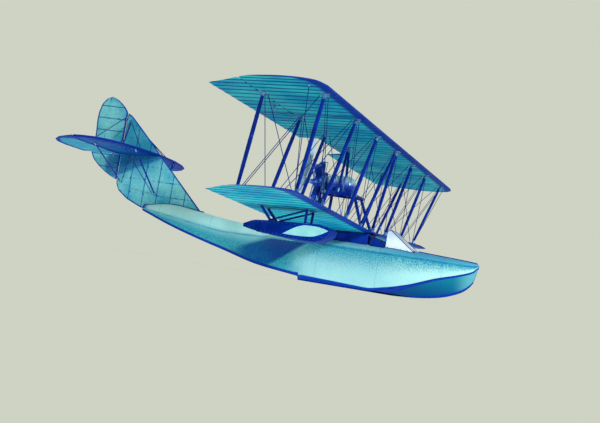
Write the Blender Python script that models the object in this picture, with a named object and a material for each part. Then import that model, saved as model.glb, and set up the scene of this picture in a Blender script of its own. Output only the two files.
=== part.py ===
"""A small biplane flying boat with a pusher rotary engine, one object for each sub-part.

Metres. +X points to the nose, +Y to port and +Z up. The origin is under the middle of the whole
boat, on the floor that the flat planing bottom stands on.
"""
import math

import bmesh
import bpy
from mathutils import Matrix, Vector

# Fit between pieces
GAP = 0.0003
SINK = 0.020
HINGE_PLAY = 0.0007

# Hull, with one row for each frame: x, keel z, chine y, chine z, sheer y, sheer z, deck z
HULL_FRAMES = (
    (4.300, 0.760, 0.030, 0.795, 0.035, 0.825, 0.850),
    (4.230, 0.470, 0.085, 0.700, 0.100, 0.800, 0.866),
    (4.000, 0.250, 0.205, 0.590, 0.225, 0.790, 0.882),
    (3.570, 0.095, 0.350, 0.440, 0.375, 0.780, 0.900),
    (3.100, 0.025, 0.445, 0.240, 0.465, 0.775, 0.920),
    (2.600, 0.000, 0.480, 0.070, 0.500, 0.770, 0.940),
    (2.250, 0.000, 0.480, 0.000, 0.500, 0.765, 0.940),
    (0.900, 0.000, 0.480, 0.000, 0.495, 0.755, 0.935),
    (0.880, 0.075, 0.478, 0.075, 0.494, 0.755, 0.935),
    (0.000, 0.170, 0.400, 0.170, 0.430, 0.735, 0.935),
    (-0.820, 0.350, 0.255, 0.350, 0.290, 0.720, 0.980),
    (-1.560, 0.520, 0.165, 0.520, 0.215, 0.790, 1.060),
    (-2.160, 0.680, 0.110, 0.680, 0.150, 0.860, 1.120),
    (-2.850, 0.905, 0.060, 0.905, 0.075, 0.950, 1.020),
)
DECK_FLAT = 0.055
DECK_ARC = (0.0, 30.0, 60.0, 90.0)
WELL = {"front": 2.86, "back": 2.15, "half_width": 0.33, "floor": 0.16}
HUMP = {"front": 2.14, "back": 0.98, "tail": 0.78, "half_width": 0.36, "sunk_to": 0.80}

# Coaming and windscreen
COAMING = {"front": 2.49, "half_width": 0.40, "wall": 0.045, "back_z": 1.095, "front_z": 0.985}
SCREEN = {"foot": 3.05, "foot_z": 0.90, "top": 2.57, "top_z": 1.25, "back": 2.50, "back_z": 1.20,
          "sunk_to": 0.75, "half_width": 0.36, "thick": 0.008}

# Wings: front spar x, underside z there at y = 0, leading and trailing edge x, and the rest
UPPER = {"spar_x": 2.34, "under_z": 2.83, "lead": 2.52, "trail": 0.62, "dihedral": 0.0,
         "root": 1.05, "cut": 1.00}
LOWER = {"spar_x": 1.98, "under_z": 1.11, "lead": 2.20, "trail": 0.60, "dihedral": 0.0270,
         "root": 0.85, "cut": 0.90}
INCIDENCE = math.tan(math.radians(3.5))
# Wing section: chord fraction and height over the flat underside as a fraction of the chord
SECTION = ((0.000, 0.011), (0.020, 0.026), (0.055, 0.039), (0.095, 0.0470), (0.165, 0.0530),
           (0.300, 0.0550), (0.450, 0.0510), (0.640, 0.0390), (0.750, 0.0290), (0.880, 0.0150),
           (1.000, 0.0030))
NOSE_UNDER = 0.014
# Wing tips: y, leading edge x, trailing edge x, share of the full thickness
UPPER_TIP = ((5.90, 2.52, 0.62, 1.00), (6.20, 2.49, 1.03, 0.85), (6.36, 2.43, 1.22, 0.66),
             (6.48, 2.34, 1.37, 0.50), (6.57, 2.20, 1.52, 0.38), (6.61, 2.06, 1.66, 0.34))
LOWER_TIP = ((5.25, 2.20, 0.60, 1.00), (5.58, 2.19, 0.90, 0.85), (5.78, 2.14, 1.08, 0.66),
             (5.92, 2.06, 1.23, 0.50), (6.02, 1.94, 1.38, 0.38), (6.06, 1.82, 1.50, 0.34))

# Struts between the wings
STATIONS = (1.75, 3.40, 5.45)
FEET = (1.75, 3.40, 4.95)
SPAR_SPACING = 0.98
STRUT = (0.064, 0.034)

# Ailerons
AILERON = {"hinge_x": 1.26, "inner": 3.56, "side_gap": 0.012, "nose_gap": 0.020,
           "hinges": (3.85, 4.85, 5.85)}

# Hinge lugs and pins
LUG_WIDTH = 0.012
LUG_RADIUS = 0.013
LUG_ROOM = 0.0060
PIN_RADIUS = 0.006
PIN_REACH = 0.020

# Engine, propeller and tank, which share one axis
ENGINE_Z = 2.01
ENGINE_X = 0.87
CRANKCASE = {"front": 1.00, "back": 0.74, "radius": 0.135}
CYLINDERS = 7
CYLINDER = {"foot": 0.11, "head": 0.45, "radius": 0.052, "fin_radius": 0.070, "fins": 5}
PUSHROD = {"x": 0.965, "radius": 0.007}
SHAFT = {"radius": 0.030, "tip": 0.80, "play": 0.0012}
PROP = {"front": 0.58, "back": 0.46, "hub": 0.085, "tilt": 25.0, "pitch": 1.60}
# Propeller blade: radius, chord, thickness
BLADE = ((0.050, 0.090, 0.060), (0.200, 0.120, 0.042), (0.420, 0.165, 0.028), (0.680, 0.170, 0.020),
         (0.900, 0.130, 0.014), (1.000, 0.085, 0.010), (1.040, 0.035, 0.006))
TANK = {"front": 1.62, "back": 1.05, "radius": 0.19, "round": 0.06}

# Engine mount
BEARER = {"y": 0.28, "z": 1.82, "width": 0.05, "height": 0.06, "front": 1.76, "back": 1.01}
PLATE_THICK = 0.020
SADDLES = (1.17, 1.46)

# Cabane legs: top x, half spread at the top
CABANE_SPREAD = 0.045
FRONT_CABANE_FOOT = 0.52

# Wing tip floats: side outline as x, z, from the tail round the top
FLOAT_OUTLINE = ((0.73, 0.745), (0.73, 0.800), (0.95, 0.890), (1.55, 0.930), (2.08, 0.965),
                 (2.22, 0.935), (2.27, 0.890), (2.24, 0.800), (2.06, 0.670), (1.50, 0.665), (1.00, 0.700))
FLOAT_Y = 3.40
FLOAT_HALF = 0.24
FLOAT_LEG = (0.045, 0.022)
FLOAT_LEG_Y = 0.19
# Feet and heads of the float legs: x, height of the foot
FLOAT_FRONT_FOOT = (1.80, 0.946)
FLOAT_REAR_FOOT = (1.20, 0.906)
FLOAT_REAR_HEAD_X = 0.98
# Round bars across each pair of float legs: x, z
FLOAT_BARS = ((1.80, 0.970), (1.168, 0.935))
FLOAT_BAR_RADIUS = 0.012

# Fin and rudder outlines as x, z
FIN_HALF = 0.030
FIN_BACK = -3.575
FIN_OUTLINE = ((-2.630, 2.070), (-3.060, 2.485), (-3.480, 2.870), (FIN_BACK, 2.915),
               (FIN_BACK, 1.420), (-3.500, 1.270), (-3.280, 1.115), (-2.960, 0.990), (-2.852, 0.965))
RUDDER_HALF = 0.022
RUDDER_X = -3.600
RUDDER_OUTLINE = ((RUDDER_X, 1.470), (RUDDER_X, 2.930), (-3.680, 3.030), (-3.780, 3.115),
                  (-3.900, 3.195), (-4.030, 3.230), (-4.150, 3.180), (-4.240, 3.060),
                  (-4.290, 2.880), (-4.300, 2.680), (-4.285, 2.520), (-4.275, 2.380), (-4.285, 2.180),
                  (-4.300, 1.980), (-4.230, 1.850), (-4.080, 1.720), (-3.900, 1.600), (-3.740, 1.520))
RUDDER_HINGES = (1.62, 2.30, 2.78)

# Tailplane and elevators, at an incidence about the elevator hinge
TAIL_Z = 2.03
TAIL_HALF = 0.024
TAIL_INCIDENCE = math.tan(math.radians(5.5))
ELEVATOR_X = -3.500
# Tailplane: y, leading edge x
TAIL_LEAD = ((FIN_HALF + GAP, -2.66), (0.90, -2.71), (1.55, -2.82), (1.95, -2.94), (2.20, -3.09),
             (2.33, -3.26), (2.37, -3.44))
ELEVATOR_NOSE_GAP = 0.016
# Elevator outline as x, y
ELEVATOR_OUTLINE = ((ELEVATOR_X, 0.075), (-4.290, 0.420), (-4.290, 1.200), (-4.240, 1.600),
                    (-4.100, 1.930), (-3.880, 2.200), (-3.670, 2.330), (ELEVATOR_X, 2.372))
ELEVATOR_HINGES = (0.55, 1.88)
# How far behind the hinge an elevator starts to thin, and half its thickness at the trailing edge
ELEVATOR_FLAT = 0.12
ELEVATOR_EDGE = 0.006

# Tail struts: name, foot on the fin as x, z, head on the tailplane as x, y, and the side of it
TAIL_STRUTS = (
    ("tail_strut_front", (-2.63, 1.25), (-2.80, 1.00), -1.0),
    ("tail_strut_rear", (-3.50, 1.45), (-3.38, 1.65), -1.0),
    ("tail_strut_upper", (-3.48, 2.76), (-3.12, 0.95), 1.0),
)
TAIL_STRUT = (0.036, 0.018)

# Cockpit
SEAT = {"front": 2.58, "back": 2.155, "width": 0.30, "middle": 0.165, "cushion_z": 0.40,
        "back_thick": 0.075, "back_z": 0.80}
PANEL = {"thick": 0.025, "half_width": 0.30, "low": 0.66, "high": 0.87}
COLUMN = {"x": 2.69, "radius": 0.016, "top": 0.66, "wheel": 0.125, "rim": 0.012}
RUDDER_BAR = {"x": 2.76, "z": 0.26, "half": 0.27, "radius": 0.014}

# Main flying wires: inner strut station, outer strut station
WIRE_BAYS = ((1.75, 3.40), (3.40, 5.45))
WIRE_RADIUS = 0.005
WIRE_OFFSET = 0.06

# Colour, roughness and metallic value of each finish
FINISHES = {
    "teal_fabric": ((0.20, 0.52, 0.56), 0.75, 0.0),
    "teal_ply": ((0.33, 0.66, 0.68), 0.45, 0.0),
    "blue_leather": ((0.05, 0.12, 0.30), 0.60, 0.0),
    "clear_screen": ((0.75, 0.90, 0.95), 0.08, 0.0),
    "blue_strut": ((0.06, 0.16, 0.42), 0.40, 0.0),
    "blue_steel": ((0.10, 0.18, 0.34), 0.35, 0.8),
    "engine_steel": ((0.16, 0.24, 0.38), 0.32, 0.9),
    "propeller_wood": ((0.14, 0.22, 0.38), 0.30, 0.0),
    "tank_metal": ((0.40, 0.58, 0.62), 0.35, 0.7),
    "float_blue": ((0.10, 0.24, 0.45), 0.45, 0.0),
    "wire_steel": ((0.30, 0.36, 0.42), 0.35, 0.9),
}


def clear_scene():
    for item in list(bpy.data.objects):
        bpy.data.objects.remove(item)


def side_name(side):
    return "port" if side > 0 else "starboard"


def mesh_object(name, shape):
    """Close a bmesh into an object whose faces are flat and point out."""
    bmesh.ops.connect_verts_nonplanar(shape, angle_limit=math.radians(0.05), faces=shape.faces)
    bmesh.ops.recalc_face_normals(shape, faces=shape.faces)
    mesh = bpy.data.meshes.new(name)
    shape.to_mesh(mesh)
    shape.free()
    item = bpy.data.objects.new(name, mesh)
    bpy.context.scene.collection.objects.link(item)
    return item


def loft(name, rings):
    """Join rings of equally many points, and cap both ends."""
    shape = bmesh.new()
    rows = [[shape.verts.new(point) for point in ring] for ring in rings]
    count = len(rings[0])
    for low, high in zip(rows, rows[1:]):
        for at in range(count):
            after = (at + 1) % count
            shape.faces.new((low[at], low[after], high[after], high[at]))
    shape.faces.new(rows[0])
    shape.faces.new(list(reversed(rows[-1])))
    return mesh_object(name, shape)


def slab_xz(name, outline, low, high):
    """An outline of x, z made thick from y = low to y = high."""
    return loft(name, [[Vector((x, y, z)) for x, z in outline] for y in (low, high)])


def slab_xy(name, outline, low, high):
    """An outline of x, y made thick from z = low to z = high."""
    return loft(name, [[Vector((x, y, z)) for x, y in outline] for z in (low, high)])


def slab_yz(name, outline, low, high):
    """An outline of y, z made thick from x = low to x = high."""
    return loft(name, [[Vector((x, y, z)) for y, z in outline] for x in (low, high)])


def block(name, low, high):
    """A box between two corners."""
    outline = ((low[0], low[1]), (high[0], low[1]), (high[0], high[1]), (low[0], high[1]))
    return slab_xy(name, outline, low[2], high[2])


def tube(name, start, end, radius, sides=12):
    """A round bar between two points."""
    start = Vector(start)
    along = Vector(end) - start
    turn = along.to_track_quat("Z", "Y").to_matrix()
    rings = []
    for base in (start, start + along):
        ring = []
        for at in range(sides):
            angle = math.tau * (at + 0.5) / sides
            ring.append(base + turn @ Vector((radius * math.cos(angle), radius * math.sin(angle), 0.0)))
        rings.append(ring)
    return loft(name, rings)


def strut(name, start, end, size, overrun=SINK):
    """A streamlined strut: its long side points along X, with a blunt nose and a thin tail."""
    start = Vector(start)
    end = Vector(end)
    along = (end - start).normalized()
    start = start - along * overrun
    end = end + along * overrun
    length, width = size
    across = along.cross(Vector((1.0, 0.0, 0.0))).normalized()
    ahead = across.cross(along).normalized()
    outline = ((0.50, 0.16), (0.28, 0.46), (-0.02, 0.50), (-0.34, 0.28), (-0.50, 0.08))
    outline = outline + tuple((x, -y) for x, y in reversed(outline))
    rings = [[base + ahead * x * length + across * y * width for x, y in outline] for base in (start, end)]
    return loft(name, rings)


def turned(name, profile, origin, axis, sides):
    """A shape turned about an axis from a profile of distance along it and radius."""
    turn = Vector(axis).to_track_quat("Z", "Y").to_matrix()
    rings = []
    for along, radius in profile:
        ring = []
        for at in range(sides):
            angle = math.tau * (at + 0.5) / sides
            local = Vector((radius * math.cos(angle), radius * math.sin(angle), along))
            ring.append(Vector(origin) + turn @ local)
        rings.append(ring)
    return loft(name, rings)


def ring_bar(name, centre, radius, thick, around=16, sides=6):
    """A ring of round bar that stands in the YZ plane."""
    shape = bmesh.new()
    rows = []
    for step in range(around):
        turn = math.tau * step / around
        row = []
        for at in range(sides):
            angle = math.tau * at / sides
            reach = radius + thick * math.cos(angle)
            row.append(shape.verts.new((centre[0] + thick * math.sin(angle),
                                        centre[1] + reach * math.cos(turn),
                                        centre[2] + reach * math.sin(turn))))
        rows.append(row)
    for step in range(around):
        low = rows[step]
        high = rows[(step + 1) % around]
        for at in range(sides):
            after = (at + 1) % sides
            shape.faces.new((low[at], low[after], high[after], high[at]))
    return mesh_object(name, shape)


def carve(piece, operation, tools, keep=False):
    """Join the tools to a piece or cut them from it, and delete them unless they are kept."""
    for tool in tools:
        step = piece.modifiers.new(tool.name, "BOOLEAN")
        step.operation = operation
        step.object = tool
    bpy.context.view_layer.update()
    seen = piece.evaluated_get(bpy.context.evaluated_depsgraph_get())
    result = bpy.data.meshes.new_from_object(seen)
    piece.modifiers.clear()
    piece.data = result
    if not keep:
        for tool in tools:
            bpy.data.objects.remove(tool)
    return piece


def copy_of(piece, shift):
    twin = piece.copy()
    twin.data = piece.data.copy()
    twin.data.transform(Matrix.Translation(Vector(shift)))
    bpy.context.scene.collection.objects.link(twin)
    return twin


def seat(piece, carrier, shift):
    """Cut a piece back to the surface of what carries it, less the gap that shift leaves."""
    return carve(piece, "DIFFERENCE", [copy_of(carrier, shift)])


def finish(piece, name, look, origin=(0.0, 0.0, 0.0), smooth=None):
    """Name a piece, give it its own material and put its origin where it turns or stands."""
    piece.name = name
    piece.data.name = name
    colour, rough, metal = FINISHES[look]
    paint = bpy.data.materials.new(name)
    paint.use_nodes = True
    shader = paint.node_tree.nodes["Principled BSDF"]
    shader.inputs["Base Color"].default_value = (*colour, 1.0)
    shader.inputs["Roughness"].default_value = rough
    shader.inputs["Metallic"].default_value = metal
    paint.diffuse_color = (*colour, 1.0)
    piece.data.materials.clear()
    piece.data.materials.append(paint)
    piece.data.transform(Matrix.Translation(-Vector(origin)))
    piece.location = origin
    if smooth is not None:
        piece.data.shade_smooth()
        piece.data.set_sharp_from_angle(angle=math.radians(smooth))
    return piece


def under_z(wing, x, y):
    """Height of a wing's flat underside."""
    return wing["under_z"] + INCIDENCE * (x - wing["spar_x"]) + wing["dihedral"] * abs(y)


def wing_ring(wing, y, lead, trail, share=1.0):
    """One wing section, from the trailing edge under the wing to the nose and back over it."""
    chord = lead - trail
    points = []
    for along in (1.0, NOSE_UNDER):
        x = lead - along * chord
        points.append(Vector((x, y, under_z(wing, x, y))))
    for along, height in SECTION:
        x = lead - along * chord
        points.append(Vector((x, y, under_z(wing, x, y) + height * chord * share)))
    return points


def top_z(wing, x, y):
    """Height of the top of a wing where its chord is full."""
    chord = wing["lead"] - wing["trail"]
    along = (wing["lead"] - x) / chord
    for (a, low), (b, high) in zip(SECTION, SECTION[1:]):
        if a <= along <= b:
            share = (along - a) / (b - a)
            return under_z(wing, x, y) + chord * (low + (high - low) * share)
    return under_z(wing, x, y)


def wing_centre(wing, name):
    half = wing["root"] - GAP
    rings = [wing_ring(wing, y, wing["lead"], wing["trail"]) for y in (-half, 0.0, half)]
    centre = loft(name, rings)
    rear = block("cut", (wing["trail"] - 0.1, -2.0, 0.0), (wing["cut"], 2.0, 4.0))
    return carve(centre, "DIFFERENCE", [rear])


def wing_panel(wing, name, side, tip):
    rings = [wing_ring(wing, side * wing["root"], wing["lead"], wing["trail"])]
    rings += [wing_ring(wing, side * y, lead, trail, share) for y, lead, trail, share in tip]
    return loft(name, rings)


def hinge_cuts(at, along, fore, half_depth):
    """What a moving piece loses at a hinge: the slot for the lug and the bore for the pin."""
    at = Vector(at)
    along = Vector(along)
    fore = Vector(fore)
    half = LUG_WIDTH / 2 + LUG_ROOM
    reach = LUG_RADIUS + LUG_ROOM
    side = along.cross(fore)
    corners = []
    for u in (-1.0, 1.0):
        ring = []
        for v, w in ((-1.0, -1.0), (1.0, -1.0), (1.0, 1.0), (-1.0, 1.0)):
            depth = 0.05 if v > 0 else -reach
            ring.append(at + along * u * half + fore * depth + side * w * (half_depth + 0.02))
        corners.append(ring)
    slot = loft("slot", corners)
    bore_radius = PIN_RADIUS + HINGE_PLAY
    reach_out = LUG_WIDTH / 2 + PIN_REACH + GAP
    bore = tube("bore", at - along * reach_out, at + along * reach_out, bore_radius)
    return [slot, bore]


def hinge_lug(at, along, fore, distance):
    """What the fixed piece gains at a hinge: the lug with its pin through it."""
    at = Vector(at)
    along = Vector(along)
    fore = Vector(fore)
    side = along.cross(fore)
    rounded = []
    for step in range(7):
        angle = math.pi * step / 6
        rounded.append((-math.sin(angle) * LUG_RADIUS, math.cos(angle) * LUG_RADIUS))
    outline = [(distance + SINK, LUG_RADIUS)] + rounded + [(distance + SINK, -LUG_RADIUS)]
    rings = []
    for u in (-1.0, 1.0):
        rings.append([at + along * u * LUG_WIDTH / 2 + fore * f + side * s for f, s in outline])
    lug = loft("lug", rings)
    reach_out = LUG_WIDTH / 2 + PIN_REACH
    pin = tube("pin", at - along * reach_out, at + along * reach_out, PIN_RADIUS)
    return carve(lug, "UNION", [pin])


def deck_z(x):
    """Height of the middle of the deck."""
    for fore, aft in zip(HULL_FRAMES, HULL_FRAMES[1:]):
        if aft[0] <= x <= fore[0]:
            share = (x - aft[0]) / (fore[0] - aft[0])
            return aft[6] + (fore[6] - aft[6]) * share
    return HULL_FRAMES[-1][6]


def hull_ring(frame):
    x, keel_z, chine_y, chine_z, sheer_y, sheer_z, top = frame
    flat = min(DECK_FLAT, sheer_y * 0.6)
    half = [(chine_y, chine_z)]
    for angle in DECK_ARC:
        turn = math.radians(angle)
        y = flat + (sheer_y - flat) * math.cos(turn)
        half.append((y, sheer_z + (top - sheer_z) * math.sin(turn)))
    points = [Vector((x, 0.0, keel_z))]
    points += [Vector((x, y, z)) for y, z in half]
    points += [Vector((x, -y, z)) for y, z in reversed(half)]
    return points


def make_hull():
    """Stepped plywood hull with its decked hump under the wing and the open cockpit well."""
    hull = loft("hull", [hull_ring(frame) for frame in HULL_FRAMES])
    rings = []
    for y in (-HUMP["half_width"], 0.0, HUMP["half_width"]):
        outline = ((HUMP["front"], HUMP["sunk_to"]),
                   (HUMP["front"], under_z(LOWER, HUMP["front"], y) - GAP),
                   (HUMP["back"], under_z(LOWER, HUMP["back"], y) - GAP),
                   (HUMP["tail"], deck_z(HUMP["tail"]) - 0.02),
                   (HUMP["tail"], HUMP["sunk_to"]))
        rings.append([Vector((x, y, z)) for x, z in outline])
    hump = loft("hump", rings)
    carve(hull, "UNION", [hump])
    wide = WELL["half_width"]
    well = block("well", (WELL["back"], -wide, WELL["floor"]), (WELL["front"], wide, 1.5))
    carve(hull, "DIFFERENCE", [well])
    return hull


def make_coaming(hull):
    """Padded rim round the back and the sides of the cockpit."""
    back = HUMP["front"] + GAP
    outline = ((back, 0.80), (back, COAMING["back_z"]), (COAMING["front"], COAMING["front_z"]),
               (COAMING["front"], 0.80))
    rim = slab_xz("coaming", outline, -COAMING["half_width"], COAMING["half_width"])
    inner_half = COAMING["half_width"] - COAMING["wall"]
    inner = block("inner", (back + COAMING["wall"] * 0.7, -inner_half, 0.5),
                  (COAMING["front"] + 0.1, inner_half, 1.5))
    under = block("under", (WELL["back"], -inner_half, 0.5), (COAMING["front"] + 0.1, inner_half, 0.96))
    carve(rim, "DIFFERENCE", [inner, under])
    seat(rim, hull, (0.0, 0.0, GAP))
    return finish(rim, "cockpit_coaming", "blue_leather", (WELL["back"], 0.0, COAMING["back_z"]))


def make_windscreen(hull):
    """Sloping windscreen with a triangular pane on each side."""
    thick = SCREEN["thick"]
    half = SCREEN["half_width"]
    foot_z = SCREEN["foot_z"]
    sunk_to = SCREEN["sunk_to"]
    outer = ((SCREEN["foot"], foot_z), (SCREEN["top"], SCREEN["top_z"]), (SCREEN["back"], SCREEN["back_z"]),
             (SCREEN["back"], sunk_to), (SCREEN["foot"], sunk_to))
    screen = slab_xz("windscreen", outer, -half, half)
    slope = math.hypot(SCREEN["foot"] - SCREEN["top"], SCREEN["top_z"] - foot_z)
    drop = thick * slope / (SCREEN["top_z"] - foot_z)
    rise = (SCREEN["top_z"] - foot_z) / (SCREEN["foot"] - SCREEN["top"])
    high_x = SCREEN["back"] - 0.1
    low_z = sunk_to - 0.1
    inner = ((SCREEN["foot"] - drop, foot_z), (high_x, foot_z + rise * (SCREEN["foot"] - drop - high_x)),
             (high_x, low_z), (SCREEN["foot"] - drop, low_z))
    hollow = slab_xz("hollow", inner, -half + thick, half - thick)
    carve(screen, "DIFFERENCE", [hollow])
    seat(screen, hull, (0.0, 0.0, GAP))
    return finish(screen, "windscreen", "clear_screen", (SCREEN["foot"], 0.0, deck_z(SCREEN["foot"])))


def make_seats():
    for side in (1.0, -1.0):
        low = WELL["floor"] + GAP
        thick = SEAT["back_thick"]
        outline = ((SEAT["back"], low), (SEAT["back"], SEAT["back_z"]),
                   (SEAT["back"] + thick, SEAT["back_z"]), (SEAT["back"] + thick * 1.3, SEAT["cushion_z"]),
                   (SEAT["front"], SEAT["cushion_z"] + 0.02), (SEAT["front"], low))
        middle = side * SEAT["middle"]
        chair = slab_xz("seat", outline, middle - SEAT["width"] / 2, middle + SEAT["width"] / 2)
        finish(chair, "seat_" + side_name(side), "blue_leather", (SEAT["back"], middle, low))


def make_controls():
    """Instrument panel, wheel on its column and rudder bar on its post."""
    front = WELL["front"] - GAP
    panel = block("panel", (front - PANEL["thick"], -PANEL["half_width"], PANEL["low"]),
                  (front, PANEL["half_width"], PANEL["high"]))
    finish(panel, "instrument_panel", "blue_strut", (front, 0.0, PANEL["low"]))
    floor = WELL["floor"] + GAP
    column = tube("column", (COLUMN["x"], 0.0, floor), (COLUMN["x"], 0.0, COLUMN["top"]),
                  COLUMN["radius"], 10)
    hub_x = COLUMN["x"] - 0.06
    hub = tube("hub", (COLUMN["x"] + 0.01, 0.0, COLUMN["top"]), (hub_x - 0.01, 0.0, COLUMN["top"]),
               COLUMN["radius"] * 1.3, 10)
    rim = ring_bar("rim", (hub_x, 0.0, COLUMN["top"]), COLUMN["wheel"], COLUMN["rim"])
    reach = COLUMN["wheel"]
    spoke = tube("spoke", (hub_x, -reach, COLUMN["top"]), (hub_x, reach, COLUMN["top"]), 0.007, 6)
    upright = tube("upright", (hub_x, 0.0, COLUMN["top"] - reach), (hub_x, 0.0, COLUMN["top"] + reach),
                   0.007, 6)
    carve(column, "UNION", [hub, spoke, upright, rim])
    finish(column, "control_column", "blue_steel", (COLUMN["x"], 0.0, floor), 40.0)
    bar = tube("bar", (RUDDER_BAR["x"], -RUDDER_BAR["half"], RUDDER_BAR["z"]),
               (RUDDER_BAR["x"], RUDDER_BAR["half"], RUDDER_BAR["z"]), RUDDER_BAR["radius"], 8)
    post = tube("post", (RUDDER_BAR["x"], 0.0, floor), (RUDDER_BAR["x"], 0.0, RUDDER_BAR["z"] + 0.02),
                RUDDER_BAR["radius"] * 1.4, 8)
    carve(bar, "UNION", [post])
    finish(bar, "rudder_bar", "blue_steel", (RUDDER_BAR["x"], 0.0, floor), 40.0)


def make_aileron(side, panel):
    """Cut an aileron out of an upper wing panel, and give both their halves of the hinges."""
    hinge_x = AILERON["hinge_x"]
    middle = 0.5 * (under_z(UPPER, hinge_x, 0.0) + top_z(UPPER, hinge_x, 0.0))
    far = 7.2
    near = AILERON["inner"]
    gap = AILERON["side_gap"]
    blank = copy_of(panel, (0.0, 0.0, 0.0))
    keep_low, keep_high = sorted((side * (near + gap), side * far))
    keep = block("keep", (0.0, keep_low, 2.0), (hinge_x, keep_high, 3.5))
    aileron = carve(blank, "INTERSECT", [keep])
    cut_low, cut_high = sorted((side * near, side * far))
    room = block("room", (0.0, cut_low, 2.0), (hinge_x + AILERON["nose_gap"], cut_high, 3.5))
    carve(panel, "DIFFERENCE", [room])
    half_depth = 0.5 * (top_z(UPPER, hinge_x, 0.0) - under_z(UPPER, hinge_x, 0.0))
    for y in AILERON["hinges"]:
        at = (hinge_x, side * y, middle)
        carve(aileron, "DIFFERENCE", hinge_cuts(at, (0.0, 1.0, 0.0), (1.0, 0.0, 0.0), half_depth))
        carve(panel, "UNION", [hinge_lug(at, (0.0, 1.0, 0.0), (1.0, 0.0, 0.0), AILERON["nose_gap"])])
    finish(aileron, "aileron_" + side_name(side), "teal_fabric", (hinge_x, side * near, middle))


def make_wings():
    """Both wings, each in a centre section and two outer panels."""
    wings = {}
    wings["lower_wing_centre"] = wing_centre(LOWER, "lower_wing_centre")
    wings["upper_wing_centre"] = wing_centre(UPPER, "upper_wing_centre")
    for side in (1.0, -1.0):
        end = side_name(side)
        wings["lower_wing_" + end] = wing_panel(LOWER, "lower_wing", side, LOWER_TIP)
        upper = wing_panel(UPPER, "upper_wing", side, UPPER_TIP)
        make_aileron(side, upper)
        wings["upper_wing_" + end] = upper
    return wings


def make_interplane_struts(wings):
    for side in (1.0, -1.0):
        end = side_name(side)
        for number, y in enumerate(STATIONS, start=1):
            foot_y = FEET[number - 1]
            for row, back in (("front", 0.0), ("rear", SPAR_SPACING)):
                foot = (LOWER["spar_x"] - back, side * foot_y, top_z(LOWER, LOWER["spar_x"] - back, foot_y))
                head = (UPPER["spar_x"] - back, side * y, under_z(UPPER, UPPER["spar_x"] - back, y))
                bar = strut("strut", foot, head, STRUT)
                seat(bar, wings["lower_wing_" + end], (0.0, 0.0, GAP))
                seat(bar, wings["upper_wing_" + end], (0.0, 0.0, -GAP))
                finish(bar, "strut_%s_%d_%s" % (row, number, end), "blue_strut", foot, 35.0)


def make_flying_wires(wings):
    """The main flying wires of the front spars, from strut foot to the next strut head."""
    for side in (1.0, -1.0):
        end = side_name(side)
        for number, (near, far) in enumerate(WIRE_BAYS, start=1):
            foot_y = near + WIRE_OFFSET
            head_y = far - WIRE_OFFSET
            foot = (LOWER["spar_x"], side * foot_y, top_z(LOWER, LOWER["spar_x"], foot_y))
            head = (UPPER["spar_x"], side * head_y, under_z(UPPER, UPPER["spar_x"], head_y))
            along = (Vector(head) - Vector(foot)).normalized() * SINK
            wire = tube("wire", Vector(foot) - along, Vector(head) + along, WIRE_RADIUS, 6)
            seat(wire, wings["lower_wing_" + end], (0.0, 0.0, GAP))
            seat(wire, wings["upper_wing_" + end], (0.0, 0.0, -GAP))
            finish(wire, "flying_wire_%d_%s" % (number, end), "wire_steel", foot)


def make_engine_mount(wings):
    """Bearers, engine plate, fixed crankshaft, tank saddles and legs, as one welded frame."""
    y = BEARER["y"]
    z = BEARER["z"]
    half_y = BEARER["width"] / 2
    half_z = BEARER["height"] / 2
    low = z - half_z
    plate_back = BEARER["back"]
    plate = ((-y - half_y, low), (y + half_y, low), (y + half_y, z + half_z), (0.13, ENGINE_Z + 0.15),
             (-0.13, ENGINE_Z + 0.15), (-y - half_y, z + half_z))
    mount = slab_yz("mount", plate, plate_back, plate_back + PLATE_THICK)
    parts = []
    for side in (1.0, -1.0):
        parts.append(block("bearer", (plate_back, side * y - half_y, low),
                           (BEARER["front"], side * y + half_y, z + half_z)))
        front_foot = (LOWER["spar_x"], side * 0.40, top_z(LOWER, LOWER["spar_x"], 0.40))
        rear_foot = (LOWER["spar_x"] - SPAR_SPACING + 0.04, side * 0.42,
                     top_z(LOWER, LOWER["spar_x"] - SPAR_SPACING + 0.04, 0.42))
        parts.append(strut("leg", front_foot, (BEARER["front"] - 0.05, side * y, z), (0.06, 0.03)))
        parts.append(strut("leg", rear_foot, (plate_back + 0.09, side * y, z), (0.06, 0.03)))
    for x in SADDLES:
        parts.append(block("saddle", (x, -y, low + 0.005), (x + 0.04, y, z + 0.07)))
    parts.append(block("brace", (BEARER["front"] - 0.055, -y, low + 0.005),
                       (BEARER["front"] - 0.005, y, z + half_z - 0.005)))
    parts.append(tube("shaft", (plate_back + PLATE_THICK / 2, 0.0, ENGINE_Z),
                      (SHAFT["tip"], 0.0, ENGINE_Z), SHAFT["radius"], 16))
    carve(mount, "UNION", parts)
    seat(mount, wings["lower_wing_centre"], (0.0, 0.0, GAP))
    room = turned("room", tank_profile(GAP), (0.0, 0.0, ENGINE_Z), (1.0, 0.0, 0.0), 20)
    carve(mount, "DIFFERENCE", [room])
    return finish(mount, "engine_mount", "blue_strut", (plate_back, 0.0, z))


def tank_profile(grow):
    """Half outline of the fuel tank as distance along X and radius."""
    radius = TANK["radius"] + grow
    edge = TANK["round"]
    front = TANK["front"] + grow
    back = TANK["back"] - grow
    return ((back, radius - edge), (back + edge * 0.4, radius - edge * 0.3), (back + edge, radius),
            (front - edge * 2.4, radius), (front - edge * 0.9, radius - edge * 0.5),
            (front, radius - edge * 1.5))


def make_tank():
    tank = turned("tank", tank_profile(0.0), (0.0, 0.0, ENGINE_Z), (1.0, 0.0, 0.0), 20)
    finish(tank, "fuel_tank", "tank_metal", (TANK["back"], 0.0, ENGINE_Z), 40.0)


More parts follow.
